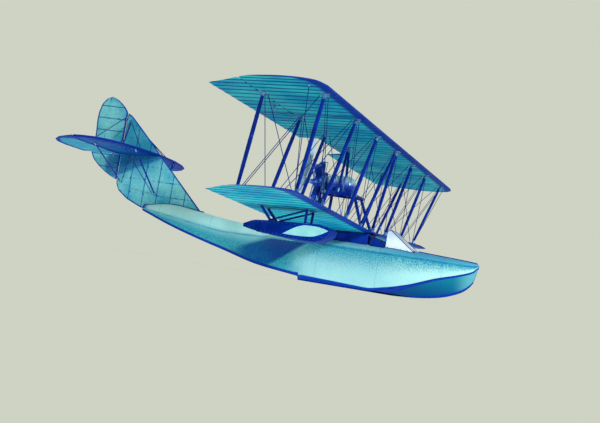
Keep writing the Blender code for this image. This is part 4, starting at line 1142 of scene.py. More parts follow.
def make_windscreen():
    """Celluloid panes in a bent frame."""
    foot = vec(3.05, 0.0, 0.905)
    top = vec(2.57, 0.0, 1.25)
    back = vec(2.5, 0.0, 1.2)
    half = 0.352
    normal = (top - foot).cross(vec(0.0, 1.0, 0.0)).normalized()
    if normal.x < 0:
        normal = -normal
    lean = (foot.x - top.x) / (top.z - foot.z)
    along_foot = []
    for y in spaced(-half, half, 28):
        x = foot.x
        for again in range(6):
            x = foot.x - (deck_height(x, y) - foot.z) * lean
        along_foot.append(vec(x, y, deck_height(x, y)))
    glass = Batch()
    glass.loft([[low, vec(top.x, low.y, top.z), vec(top.x, low.y, top.z) - normal * 0.005,
                 low - normal * 0.005] for low in along_foot])
    corner = along_foot[0]
    for side in (1.0, -1.0):
        rings = []
        for y in (side * half, side * (half - 0.005)):
            ring = [vec(corner.x, y, corner.z), vec(top.x, y, top.z - 0.008),
                    vec(back.x, y, back.z - 0.004)]
            ring += [vec(x, y, deck_height(x, half) - 0.01) for x in (2.5, 2.7, 2.9, corner.x)]
            rings.append(ring)
        glass.loft(rings)
    glass.make("windscreen_panes", "glass", "windscreen", 20.0)
    edge = Batch()
    for side in (1.0, -1.0):
        y = side * half
        edge.tube([vec(corner.x, y, corner.z), top + vec(0.0, y, -0.002), back + vec(0.0, y, -0.002),
                   vec(2.503, y, 0.885)], 0.0075, 8)
    edge.tube([foot, top + vec(0.0, 0.0, -0.002)], 0.0055, 8)
    edge.tube([top + vec(0.0, -half, -0.002), top + vec(0.0, half, -0.002)], 0.0075, 8)
    edge.tube([low + vec(0.003, 0.0, 0.003) for low in along_foot], 0.008, 8)
    xs = spaced(2.505, corner.x, 16)
    for side in (1.0, -1.0):
        edge.tube([(x, side * (half + 0.002), deck_height(x, half) + 0.002) for x in xs], 0.007, 8)
        for x in (2.55, 2.68, 2.81, 2.94):
            edge.bolt((x, side * (half + 0.002), deck_height(x, half) + 0.017), (0.0, side, 0.0), 0.0045,
                      0.004)
    edge.make("windscreen_frame", "trim", "windscreen", 50.0)


# Struts and fittings
STREAM = ((0.5, 0.0), (0.485, 0.16), (0.43, 0.3), (0.34, 0.4), (0.22, 0.47), (0.08, 0.5), (-0.08, 0.47),
          (-0.24, 0.38), (-0.38, 0.24), (-0.47, 0.11), (-0.5, 0.03))


def strut_axes(foot, head):
    """Directions along a strut and across it."""
    along = (head - foot).normalized()
    return along, along.cross(vec(1.0, 0.0, 0.0)).normalized()


def strut_rings(foot, head, size, ends=0.74, count=12, low=0.0, high=1.0):
    """Rings of a streamlined strut that is fuller in its middle."""
    foot = Vector(foot)
    head = Vector(head)
    along, across = strut_axes(foot, head)
    ahead = across.cross(along).normalized()
    outline = list(STREAM) + [(x, -y) for x, y in reversed(STREAM[1:])]
    rings = []
    for step in range(count + 1):
        share = low + (high - low) * step / count
        full = ends + (1.0 - ends) * sin(pi * share) ** 0.7
        base = foot + (head - foot) * share
        rings.append([base + ahead * x * size[0] * full + across * y * size[1] * full for x, y in outline])
    return rings


def make_strut(name, node, foot, head, size, sockets):
    """A wooden strut, bound near its ends, and its sockets and bolts in the sockets' batch."""
    foot = Vector(foot)
    head = Vector(head)
    batch = Batch()
    batch.loft(strut_rings(foot, head, size))
    for share in (0.25, 0.5, 0.75):
        batch.loft(strut_rings(foot, head, (size[0] * 1.04, size[1] * 1.06), 0.74, 1, share - 0.012,
                               share + 0.012))
    batch.make(name, "strut", node, 50.0)
    cup = 0.075 / (head - foot).length
    grown = (size[0] * 1.1, size[1] * 1.22)
    sockets.loft(strut_rings(foot, head, grown, 0.74, 1, 0.0, cup))
    sockets.loft(strut_rings(foot, head, grown, 0.74, 1, 1.0 - cup, 1.0))
    along, across = strut_axes(foot, head)
    for end, way in ((foot, 1.0), (head, -1.0)):
        for step in (0.028, 0.055):
            at = end + along * way * step
            sockets.tube([at - across * size[1] * 0.56, at + across * size[1] * 0.56], 0.0045, 8)


def foot_plate(batch, place, way, length=0.15, width=0.075):
    """A steel plate with four bolts where a strut stands on a wing, facing up or down."""
    centre = Vector(place) + vec(0.0, 0.0, way * 0.001)
    batch.box(centre, (length, width, 0.006), Matrix.Rotation(-atan(INCIDENCE), 3, "Y"), 0.002)
    for dx in (-0.4 * length, 0.4 * length):
        for dy in (-0.32 * width, 0.32 * width):
            batch.bolt(centre + vec(dx, dy, INCIDENCE * dx + way * 0.003), (0.0, 0.0, way), 0.0055, 0.007)


def spar_x(wing, row):
    return wing["spar_x"] - (0.0 if row == "front" else SPAR_SPACING)


def on_lower(x, y):
    """A point on top of the lower wing."""
    return vec(x, y, top_z(LOWER, x, y))


def under_upper(x, y):
    """A point on the underside of the upper wing."""
    return vec(x, y, under_z(UPPER, x, y))


def wing_joint(side, number, row):
    """Foot and head of an interplane strut."""
    foot = on_lower(spar_x(LOWER, row), side * FEET[number - 1])
    return foot, under_upper(spar_x(UPPER, row), side * STATIONS[number - 1])


def make_struts():
    sockets = Batch()
    for side, end in SIDES:
        for number in (1, 2, 3):
            for row in ("front", "rear"):
                foot, head = wing_joint(side, number, row)
                node = "strut_%s_%d_%s" % (row, number, end)
                make_strut(node + "_wood", node, foot, head, (0.07, 0.038), sockets)
                foot_plate(sockets, foot, 1.0)
                foot_plate(sockets, head, -1.0)
        front_foot = on_lower(spar_x(LOWER, "front"), side * 0.52)
        foot_plate(sockets, front_foot, 1.0)
        rear_foot = (spar_x(UPPER, "rear"), side * BEARER_Y, 1.85)
        for row, foot, size in (("front", front_foot, (0.066, 0.034)), ("rear", rear_foot, (0.056, 0.03))):
            head = under_upper(spar_x(UPPER, row), side * 0.045)
            names = [text % (row, end) for text in ("cabane_%s_wood_%s", "cabane_strut_%s_%s")]
            make_strut(*names, foot, head, size, sockets)
    for row in ("front", "rear"):
        foot_plate(sockets, under_upper(spar_x(UPPER, row), 0.0), -1.0, 0.16, 0.2)
    sockets.make("strut_sockets", "steel")


# Wires
def wire(batch, fittings, start, end, radius=0.0068, buckle=0.14):
    """A taut wire with an eye at each end and a turnbuckle near its start."""
    start = Vector(start)
    end = Vector(end)
    along = (end - start).normalized()
    batch.tube([start, end], radius, 6)
    at = start + along * buckle
    steps = (-0.055, -0.035, -0.02, 0.02, 0.035, 0.055)
    fittings.tube([at + along * step for step in steps], [0.0055, 0.009, 0.01, 0.01, 0.009, 0.0055], 8)
    for point, way in ((start, 1.0), (end, -1.0)):
        fittings.tube([point + along * way * 0.004, point + along * way * 0.045], [0.01, 0.0065], 8)


def make_wires():
    """Rigging between the wings. The main stays are solids of the part and only get their material."""
    lines = Batch()
    fittings = Batch()
    for side, end in SIDES:
        aside = vec(0.0, side * 0.06, 0.0)
        runs = []
        for row in ("front", "rear"):
            feet, heads = zip(*[wing_joint(side, number, row) for number in (1, 2, 3)])
            for near, far in ((0, 1), (1, 2)):
                beside = vec(0.035, 0.0, 0.002) if row == "front" else vec(0.0, 0.0, 0.0)
                runs.append((feet[near] + aside + beside, heads[far] - aside + beside))
                runs.append((feet[far] - aside, heads[near] + aside))
            runs.append((on_lower(spar_x(LOWER, row), side * 0.6), heads[0] - aside))
            runs.append((feet[0] - aside, under_upper(spar_x(UPPER, row), side * 0.12)))
            if row == "front":
                runs.append((feet[2] + aside, under_upper(spar_x(UPPER, row) - 0.05, side * 6.15)))
        fore = vec(0.06, 0.0, 0.0)
        for number in (1, 2, 3):
            front_foot, front_head = wing_joint(side, number, "front")
            rear_foot, rear_head = wing_joint(side, number, "rear")
            runs += [(front_foot - fore, rear_head + fore), (rear_foot + fore, front_head - fore)]
        for low, high in runs:
            wire(lines, fittings, low, high)
        for number in (1, 2):
            dress("flying_wire_%d_%s" % (number, end), "wire")
    lines.make("wing_wires", "wire")
    fittings.make("wing_wire_fittings", "steel")


# Tail
FIN_TOP = ((-3.575, 2.915), (-3.48, 2.87), (-3.06, 2.485), (-2.63, 2.07), (-1.56, 1.062))
FIN_LOW = ((-3.575, 1.42), (-3.5, 1.27), (-3.28, 1.115), (-2.96, 0.99), (-2.853, 0.966))
DECK_LINE = ((-2.85, 1.0205), (-2.16, 1.1205), (-1.56, 1.0605))
RUDDER_BACK = ((1.47, -3.6), (1.52, -3.74), (1.6, -3.9), (1.72, -4.08), (1.85, -4.23),
               (1.98, -4.3), (2.18, -4.285), (2.38, -4.275), (2.52, -4.285), (2.68, -4.3),
               (2.88, -4.29), (3.06, -4.24), (3.18, -4.15), (3.23, -4.03))
RUDDER_FRONT = ((1.47, -3.6), (2.93, -3.6), (3.03, -3.68), (3.115, -3.78), (3.195, -3.9),
                (3.23, -4.03))
TAIL_LEAD = ((0.0303, -2.66), (0.9, -2.71), (1.55, -2.82), (1.95, -2.94), (2.2, -3.09), (2.33, -3.26),
             (2.37, -3.44))
ELEVATOR_BACK = ((0.075, -3.5), (0.42, -4.29), (1.2, -4.29), (1.6, -4.24), (1.93, -4.1),
                 (2.2, -3.88), (2.33, -3.67), (2.372, -3.52))
RUDDER_HINGES = (1.62, 2.3, 2.78)
ELEVATOR_HINGES = (0.55, 1.88)


def flat_ring(u, start, end, half, thin, place, ribs_u, ribs_v, points=26, slack=0.006, rim_ends=(1, 1),
              tip_gap=9.0):
    """One ring of a flat tail surface across its chord. thin is the half thickness at the end."""
    near_u, loose_u = rib_gap(ribs_u, u)
    ring = []
    for step in range(points + 1):
        part = step / points
        share = 0.5 - 0.5 * cos(pi * part)
        v = start + (end - start) * share
        gap_start = abs(v - start)
        gap_end = abs(v - end)
        deep = half + (thin - half) * max(0.0, share - 0.15) / 0.85
        rounding = min(1.0, sqrt(max(0.0, min(gap_start, gap_end) / 0.022) + 0.05))
        near_v, loose_v = rib_gap(ribs_v, v) if ribs_v else (9.0, 1.0)
        loose = loose_u * (loose_v if len(ribs_v) > 1 else min(1.0, min(gap_start, gap_end) / 0.15))
        thick = deep * rounding - min(slack * loose, deep * 0.45)
        near = min(near_u, near_v)
        rim = min(gap_start if rim_ends[0] else 9.0, gap_end if rim_ends[1] else 9.0, tip_gap)
        ring.append((place(u, v, -thick), place(u, v, thick), near, rim + 0.08))
    return ring


def make_fin():
    top = straight_through(FIN_TOP)
    low = straight_through(FIN_LOW)
    deck = straight_through(DECK_LINE)
    ribs_x = [-3.575, -3.25, -2.92, -2.6, -2.28, -1.96, -1.56]
    ribs_z = [0.9, 1.25, 1.55, 1.84, 2.12, 2.4, 2.68, 3.0]
    place = lambda u, v, w: vec(u, w, v)
    groups = []
    for ribs, base in (([-3.575, -3.25, -2.92, -2.851], low),
                       ([-2.851, -2.6, -2.28, -1.96, -1.57], deck)):
        rings = []
        for x in rib_rows(ribs):
            end = max(top(x), base(x) + 0.006)
            rings.append(flat_ring(x, base(x), end, 0.03, 0.024, place, ribs_x, ribs_z, 34, 0.004, (0, 1)))
        groups.append(rings)
    make_skin("fin_skin", "tail", "fin", *groups)
    fairing = Batch()
    deck_points = [vec(x, 0.0, deck(x) + 0.004) for x in spaced(-2.83, -1.5, 14)]
    for side in (1.0, -1.0):
        fairing.tube([point + vec(0.0, side * 0.033, 0.0) for point in deck_points], 0.01, 8)
    low_points = [vec(x, 0.0, low(x)) for x in spaced(-2.87, -3.57, 18)]
    fairing.tube(low_points, 0.02, 10)
    fairing.tube([vec(-3.577, 0.0, z) for z in spaced(1.42, 2.9, 10)], 0.013, 10)
    fairing.make("fin_edges", "trim", smooth=50.0)


def make_rudder():
    back = straight_through(RUDDER_BACK)
    front = straight_through(RUDDER_FRONT)
    ribs_z = [1.47, 1.72, 1.98, 2.24, 2.5, 2.76, 3.02, 3.23]
    ribs_x = [-4.4, -4.05, -3.8, -3.55]
    place = lambda u, v, w: vec(v, w, u)
    rings = []
    rows = [1.474] + rib_rows(ribs_z)[1:-1] + [3.216, 3.226, 3.2295]
    for z, in_slot in notched_rows(rows, RUDDER_HINGES):
        start = front(z) - (SLOT_DEEP if in_slot else 0.0)
        end = min(back(z), start - 0.01)
        rings.append(flat_ring(z, start, end, 0.022, 0.01, place, ribs_z, ribs_x, points=26, slack=0.004))
    make_skin("rudder_skin", "tail", "rudder", rings, body="rudder")


def tail_z(x):
    """Height of the middle of the tailplane and elevators."""
    return TAIL_Z + TAIL_TILT * (x - ELEVATOR_X)


def make_tailplane(side, end):
    lead = straight_through(TAIL_LEAD)
    back = straight_through(ELEVATOR_BACK)
    place = lambda u, v, w: vec(v, side * u, tail_z(v) + w)
    ribs = [0.0303, 0.3, 0.6, 0.9, 1.2, 1.5, 1.78, 2.03, 2.23, 2.37]
    rows = rib_rows(ribs)[:-1] + [2.368]
    rings = [flat_ring(y, -3.484, lead(y), 0.021, 0.021, place, ribs, [], rim_ends=(0, 1)) for y in rows]
    make_skin("tailplane_skin_" + end, "tailplane", "tailplane_" + end, rings)
    ribs = [0.085, 0.35, 0.6, 0.9, 1.2, 1.5, 1.78, 2.03, 2.23, 2.368]
    rings = []
    for y, in_slot in notched_rows(rib_rows(ribs), ELEVATOR_HINGES):
        start = ELEVATOR_X - (SLOT_DEEP if in_slot else 0.0)
        rings.append(flat_ring(y, start, min(back(y), start - 0.012), 0.019, 0.007, place, ribs, [],
                               tip_gap=(2.372 - y) * 0.35))
    make_skin("elevator_skin_" + end, "elevator", "elevator_" + end, rings, body="elevator_" + end)


# Floats under the wings
FLOAT_Y = 3.4
FLOAT_HALF = 0.24
FLOAT_TOP = ((0.73, 0.8), (0.95, 0.888), (1.55, 0.932), (1.9, 0.952), (2.08, 0.963), (2.18, 0.948),
             (2.24, 0.92), (2.27, 0.89))
FLOAT_LOW = ((0.73, 0.745), (1.0, 0.702), (1.3, 0.678), (1.5, 0.667), (1.9, 0.662), (2.06, 0.68),
             (2.17, 0.74), (2.24, 0.812), (2.27, 0.886))
# Outline of the pale panel on each float side, a painted light patch.
FLOAT_PANEL_TOP = ((1.45, 0.726), (1.575, 0.812), (1.704, 0.884), (1.849, 0.924), (2.014, 0.926),
                   (2.14, 0.909), (2.235, 0.882))
FLOAT_PANEL_LOW = ((1.45, 0.724), (1.6, 0.722), (1.767, 0.726), (1.959, 0.744), (2.122, 0.808),
                   (2.235, 0.88))
FLOAT_LEG_Y = 0.19
FLOAT_MIDDLE = 1.5
FLOAT_REACH = 0.77


def narrowing(x):
    """How far a float narrows at x, from 0 at its middle to 1 at its ends."""
    return abs((x - FLOAT_MIDDLE) / FLOAT_REACH) ** 4


float_top = smooth_through(FLOAT_TOP)
float_low = smooth_through(FLOAT_LOW)
FLOAT_XS = [FLOAT_MIDDLE - FLOAT_REACH * cos(pi * step / 48.0) for step in range(49)]


def make_float_body(middle, end):
    """A flat-sided float with rounded edges."""
    body = Batch()
    rings = []
    for x in FLOAT_XS:
        half_z = max(0.002, (float_top(x) - float_low(x)) / 2)
        z = (float_top(x) + float_low(x)) / 2
        corner = min(0.022, half_z * 0.9)
        half_y = FLOAT_HALF - 0.018 * narrowing(x)
        ring = []
        for turn, sy, sz in ((0, 1, 1), (90, -1, 1), (180, -1, -1), (270, 1, -1)):
            for step in range(5):
                angle = radians(turn + 22.5 * step)
                ring.append(vec(x, middle + sy * (half_y - corner) + corner * cos(angle),
                                z + sz * (half_z - corner) + corner * sin(angle)))
        rings.append(ring)
    body.loft(rings)
    body.make("float_body_" + end, "float", "wing_float_" + end, 45.0)


def make_float_sides(middle, end, sockets):
    """Raised side panels in pale paint, which is painted light on the front of each side, while the navy
    float body around them stands for the shade; edge battens and nails.
    """
    panels = Batch()
    battens = Batch()
    panel_top = smooth_through(FLOAT_PANEL_TOP)
    panel_low = smooth_through(FLOAT_PANEL_LOW)
    for way in (1.0, -1.0):
        face = middle + way * (FLOAT_HALF - 0.002)
        rings = []
        for x in spaced(1.452, 2.234, 32):
            inner = face - way * 0.018 * narrowing(x)
            lower = panel_low(x)
            upper = max(panel_top(x), lower + 0.002)
            lip = min(0.003, (upper - lower) * 0.4)
            rings.append([vec(x, inner - way * 0.004, lower), vec(x, inner + way * 0.004, lower + lip),
                          vec(x, inner + way * 0.004, upper - lip), vec(x, inner - way * 0.004, upper)])
        panels.loft(rings)
        for line, shift in ((float_top, -0.008), (float_low, 0.008)):
            battens.tube([(x, face - way * 0.01 * narrowing(x), line(x) + shift) for x in FLOAT_XS[2:-3]],
                         0.008, 8)
        for x in spaced(0.85, 2.15, 18):
            for line, shift in ((float_top, -0.03), (float_low, 0.03)):
                sockets.turned(((-0.002, 0.0045), (0.0025, 0.004), (0.0035, 0.0015)),
                               (x, face + way * 0.002, line(x) + shift), (0.0, way, 0.0), 8)
    for x in (1.0, 1.5, 2.0):
        battens.box((x, middle, float_low(x) - 0.002), (0.04, 0.44, 0.01), edge=0.003)
    panels.make("float_panels_" + end, "float_side")
    battens.make("float_battens_" + end, "trim", smooth=50.0)


def make_float_legs(middle, end, sockets):
    """The frame of legs that holds a float under the wing."""
    legs = Batch()
    for across in (FLOAT_LEG_Y, -FLOAT_LEG_Y):
        y = middle + across
        front_foot = vec(1.8, y, 0.946)
        front_head = vec(1.8, y, under_z(LOWER, 1.8, y))
        rear_foot = vec(1.2, y, 0.906)
        rear_head = vec(0.98, y, under_z(LOWER, 0.98, y))
        legs.loft(strut_rings(front_foot, front_head, (0.048, 0.025), 0.9))
        legs.loft(strut_rings(rear_foot, rear_head, (0.048, 0.025), 0.9))
        legs.loft(strut_rings(rear_foot + vec(-0.015, 0.0, 0.02), front_head + vec(-0.02, 0.0, -0.03),
                              (0.032, 0.018), 0.9))
        for head in (front_head, rear_head):
            foot_plate(sockets, head, -1.0, 0.1, 0.055)
        for x in (1.8, 1.2):
            foot_plate(sockets, (x, y, float_top(x) + 0.001), 1.0, 0.11, 0.06)
    for x, z in ((1.8, 0.97), (1.168, 0.935)):
        legs.tube([(x, middle - FLOAT_LEG_Y, z), (x, middle + FLOAT_LEG_Y, z)], 0.0125, 12)
    legs.make("float_legs_" + end, "strut", "float_frame_" + end, 50.0)


# Engine, propeller, tank and their mount
HUB = (0.0, 0.0, 2.01)
CYLINDERS = 7
ENGINE_TURN = radians(8.0)
PITCH = 1.6
BEARER_Y = 0.28
BEARER_Z = 1.82


def around(x, radius, turn):
    """A point at a radius and an angle about the engine's axis."""
    return vec(x, radius * sin(turn), ENGINE.z + radius * cos(turn))


# Intake pipe of a cylinder: along the shaft, out from it, and aside
INTAKE = ((0.772, 0.108, 0.02), (0.766, 0.158, 0.02), (0.783, 0.26, 0.03), (0.785, 0.38, 0.026),
          (0.8, 0.412, 0.016), (0.835, 0.418, 0.004))


def add_cylinder(turn, barrel, barrels, pipes):
    """A finned cylinder with its pushrod, valve gear, intake pipe, plug and lead."""
    out = vec(0.0, sin(turn), cos(turn))
    over = vec(0.0, cos(turn), -sin(turn))

    def spoke(x, radius, aside=0.0):
        return vec(x, 0.0, ENGINE.z) + out * radius + over * aside

    barrels.turned(barrel, ENGINE, out, 28)
    barrels.turned(((0.0, 0.022), (0.008, 0.022), (0.009, 0.015), (0.013, 0.014)),
                   spoke(ENGINE.x, 0.43), out, 16)
    rod_foot = spoke(0.962, 0.108)
    rod_head = spoke(0.965, 0.434)
    pipes.tube([rod_foot, rod_foot.lerp(rod_head, 0.06), rod_foot.lerp(rod_head, 0.07), rod_head],
               [0.011, 0.011, 0.0055, 0.0055], 10)
    rocker = [spoke(0.975, 0.434), rod_head, spoke(0.915, 0.437), spoke(ENGINE.x - 0.006, 0.442)]
    pipes.tube(rocker, [0.0055, 0.0075, 0.009, 0.0065], 10)
    pipes.tube([spoke(0.915, 0.437, -0.024), spoke(0.915, 0.437, 0.024)], 0.006, 10)
    for ear in (-0.018, 0.018):
        pipes.tube([spoke(0.915, 0.437, ear), spoke(0.912, 0.405, ear * 1.2)], 0.0055, 8)
    for coil in range(4):
        swings = [tau * step / 12 for step in range(12)]
        pipes.tube([spoke(ENGINE.x + 0.019 * cos(swing), 0.421 + 0.005 * coil, 0.019 * sin(swing))
                    for swing in swings], 0.0022, 6, loop=True)
    pipes.tube([spoke(*point) for point in INTAKE], [0.012, 0.0115, 0.011, 0.011, 0.012, 0.014], 12)
    plug = spoke(0.834, 0.398, -0.026)
    way = (vec(-0.7, 0.0, 0.0) - over * 0.6 + out * 0.25).normalized()
    pipes.turned(((0.0, 0.01), (0.012, 0.01), (0.013, 0.007), (0.03, 0.005), (0.036, 0.003)),
                 plug, way, 12)
    spark = plug + way * 0.035
    lead = spark.lerp(spoke(0.765, 0.2, -0.03), 0.5) - vec(0.012, 0.0, 0.0)
    pipes.tube([spark, lead, spoke(0.77, 0.095, -0.018)], 0.0022, 6)


def make_engine():
    """The crankcase with its nose and bolts, and the cylinders round it."""
    case = Batch()
    case.turned(((0.82, 0.034), (1.0, 0.034), (1.002, 0.06), (1.0, 0.1), (0.99, 0.11), (0.965, 0.126),
                 (0.946, 0.132), (0.944, 0.14), (0.932, 0.14), (0.93, 0.134), (0.812, 0.134), (0.81, 0.14),
                 (0.798, 0.14), (0.796, 0.132), (0.78, 0.122), (0.762, 0.094), (0.745, 0.082),
                 (0.74, 0.074)), HUB, AXLE, 56)
    case.turned(((0.584, 0.052), (0.59, 0.056), (0.604, 0.056), (0.608, 0.043), (0.69, 0.043),
                 (0.694, 0.054), (0.712, 0.054), (0.716, 0.046), (0.75, 0.046)), HUB, AXLE, 32)
    pipes = Batch()
    barrels = Batch()
    for number in range(2 * CYLINDERS):
        turn = tau * (number + 0.5) / (2 * CYLINDERS) + ENGINE_TURN
        case.bolt(around(0.985, 0.1, turn), AXLE, 0.0055, 0.01)
        case.bolt(around(0.786, 0.11, turn), AFT, 0.0055, 0.01)
    fins = []
    for fin in range(15):
        base = 0.164 + fin * 0.0156
        wide = 0.06 + 0.0095 * sin(pi * (fin + 4) / 20)
        fins += [(base, 0.047), (base + 0.004, wide), (base + 0.0065, wide), (base + 0.0095, 0.047)]
    barrel = [(0.118, 0.061), (0.138, 0.061), (0.14, 0.049), (0.16, 0.047), *fins,
              (0.402, 0.052), (0.414, 0.055), (0.424, 0.052), (0.43, 0.04), (0.434, 0.024)]
    for number in range(CYLINDERS):
        turn = tau * number / CYLINDERS + ENGINE_TURN
        add_cylinder(turn, barrel, barrels, pipes)
    case.make("engine_case", "case", "rotary_engine", 35.0, body="engine")
    barrels.make("engine_cylinders", "engine", "rotary_engine", 30.0, body="engine")
    pipes.make("engine_pipes_and_rods", "copper", "rotary_engine", 45.0, body="engine")


BLADE = ((0.05, 0.09, 0.06), (0.2, 0.12, 0.042), (0.42, 0.165, 0.028), (0.68, 0.17, 0.02),
         (0.9, 0.13, 0.014), (1.0, 0.085, 0.01), (1.04, 0.035, 0.006))
BLADE_BACK = ((-0.5, 0.05), (-0.38, 0.3), (-0.1, 0.5), (0.25, 0.42), (0.42, 0.2), (0.5, 0.0))
BLADE_FACE = ((-0.5, 0.03), (-0.38, -0.14), (-0.15, -0.3), (0.25, -0.3), (0.42, -0.16), (0.5, -0.02))


def make_propeller():
    chord = smooth_through([(row[0], row[1]) for row in BLADE])
    thick = smooth_through([(row[0], row[2]) for row in BLADE])
    back = smooth_through(BLADE_BACK)
    face = smooth_through(BLADE_FACE)
    wood = Batch()
    wood.turned(((0.46, 0.07), (0.464, 0.08), (0.472, 0.085), (0.568, 0.085), (0.576, 0.08), (0.58, 0.07)),
                HUB, AXLE, 40)
    across = [0.5 * cos(pi * step / 11) for step in range(12)]
    radii = spaced(0.05, 0.9, 24) + [0.94, 0.97, 0.995, 1.012, 1.026, 1.036, 1.04]
    for half in (0.0, pi):
        turn = radians(25.0) + half
        out = vec(0.0, sin(turn), cos(turn))
        sweep = vec(0.0, cos(turn), -sin(turn))
        rings = []
        for radius in radii:
            angle = min(atan(PITCH / (tau * radius)), radians(50.0))
            chord_way = sweep * cos(angle) + Vector(AXLE) * sin(angle)
            thick_way = Vector(AXLE) * cos(angle) - sweep * sin(angle)
            base = vec(0.52, 0.0, ENGINE.z) + out * radius
            points = [(at, back(at)) for at in across] + [(at, face(at)) for at in reversed(across[1:-1])]
            rings.append([base + chord_way * at * chord(radius) + thick_way * up * thick(radius)
                          for at, up in points])
        wood.loft(rings)
    wood.make("propeller_blades", "propeller", "propeller", 50.0, body="engine")
    plates = Batch()
    plates.turned(((0.453, 0.06), (0.455, 0.064), (0.461, 0.064)), HUB, AXLE, 36)
    plates.turned(((0.448, 0.02), (0.45, 0.03), (0.456, 0.03)), HUB, AXLE, 6)
    for number in range(8):
        plates.bolt(around(0.454, 0.05, tau * number / 8), AFT, 0.0055, 0.009)
    plates.make("propeller_plate", "steel", "propeller", body="engine")


def make_tank():
    tank = Batch()
    tank.turned(((1.05, 0.02), (1.051, 0.08), (1.055, 0.118), (1.066, 0.148), (1.086, 0.172), (1.11, 0.185),
                 (1.128, 0.19), (1.131, 0.1925), (1.137, 0.1925), (1.14, 0.19), (1.462, 0.19),
                 (1.465, 0.1925), (1.471, 0.1925), (1.474, 0.19), (1.52, 0.184), (1.56, 0.166),
                 (1.592, 0.138), (1.61, 0.105), (1.619, 0.06), (1.621, 0.012)), HUB, AXLE, 56)
    tank.make("tank_body", "tank", "fuel_tank", 30.0)
    trim = Batch()
    for x in (1.19, 1.43):
        trim.turned(((x - 0.016, 0.1895), (x - 0.015, 0.193), (x + 0.015, 0.193), (x + 0.016, 0.1895)), HUB,
                    AXLE, 56)
        trim.box((x, 0.0, ENGINE.z + 0.199), (0.03, 0.06, 0.014), edge=0.003)
    for x in (1.12, 1.15, 1.454, 1.482):
        radius = 0.1885 if x < 1.14 or x > 1.47 else 0.19
        for number in range(36):
            turn = tau * number / 36
            trim.turned(((-0.002, 0.0042), (0.0015, 0.0035), (0.0028, 0.0012)), around(x, radius, turn),
                        (0.0, sin(turn), cos(turn)), 6)
    trim.turned(((0.186, 0.034), (0.196, 0.034), (0.197, 0.026), (0.212, 0.026), (0.213, 0.031),
                 (0.224, 0.031), (0.227, 0.026)), (1.31, 0.0, ENGINE.z), UP, 24)
    trim.box((1.31, 0.0, ENGINE.z + 0.23), (0.055, 0.008, 0.01), edge=0.002)
    trim.turned(((0.0, 0.016), (0.01, 0.016), (0.011, 0.009), (0.02, 0.009)), (1.618, 0.0, 1.93), AXLE, 16)
    trim.make("tank_trim", "steel", smooth=40.0)
    pipe = Batch()
    pipe.tube([(1.1, 0.0, 1.846), (1.085, 0.0, 1.826), (1.062, 0.012, 1.826), (1.046, 0.03, 1.86),
               (1.04, 0.036, 1.93), (1.038, 0.028, 1.985), (1.034, 0.01, 2.005)], 0.007, 10)
    pipe.make("fuel_pipe", "copper", smooth=60.0)


def make_mount():
    """Bearers, engine plate, crankshaft, saddles and legs."""
    frame_wood = Batch()
    steel = Batch()
    for side in (1.0, -1.0):
        frame_wood.box((1.386, side * BEARER_Y, BEARER_Z), (0.752, 0.052, 0.062), edge=0.006)
        for foot_x, foot_y, head_x in ((1.98, 0.4, 1.71), (1.04, 0.42, 1.1)):
            foot = on_lower(foot_x, side * foot_y)
            head = (head_x, side * BEARER_Y, BEARER_Z)
            frame_wood.loft(strut_rings(foot, head, (0.064, 0.034), 0.9))
            foot_plate(steel, foot, 1.0, 0.13, 0.07)
        for x in (1.06, 1.14, 1.67, 1.75):
            steel.bolt((x, side * 0.307, BEARER_Z), (0.0, side, 0.0), 0.007, 0.009)
        for x, length in ((1.1, 0.15), (1.71, 0.11)):
            steel.box((x, side * 0.308, BEARER_Z), (length, 0.005, 0.052), edge=0.002)
    frame_wood.box((1.735, 0.0, BEARER_Z), (0.05, 0.56, 0.05), edge=0.005)
    for x in (1.19, 1.48):
        frame_wood.box((x, 0.0, 1.845), (0.04, 0.5, 0.08), edge=0.005)
        for y in (-0.22, 0.22):
            steel.bolt((x, y, 1.885), UP, 0.006, 0.008)
    outline = ((-0.305, 1.79), (0.305, 1.79), (0.305, 1.85), (0.24, 1.93), (0.13, 2.16), (-0.13, 2.16),
               (-0.24, 1.93), (-0.305, 1.85))
    steel.slab(outline, 1.0105, 1.0295, lambda u, v, w: vec(w, u, v), 0.003)
    steel.turned(((0.8, 0.024), (0.806, 0.03), (1.012, 0.03)), HUB, AXLE, 28)
    steel.turned(((1.026, 0.085), (1.034, 0.085), (1.036, 0.08), (1.037, 0.05), (1.05, 0.046),
                  (1.052, 0.03)), HUB, AXLE, 36)
    for number in range(8):
        steel.bolt(around(1.035, 0.07, tau * (number + 0.5) / 8), AXLE, 0.0055, 0.007)
    frame_wood.make("engine_mount_wood", "strut", "engine_mount", 45.0)
    steel.make("engine_mount_steel", "steel", "engine_mount", 35.0)


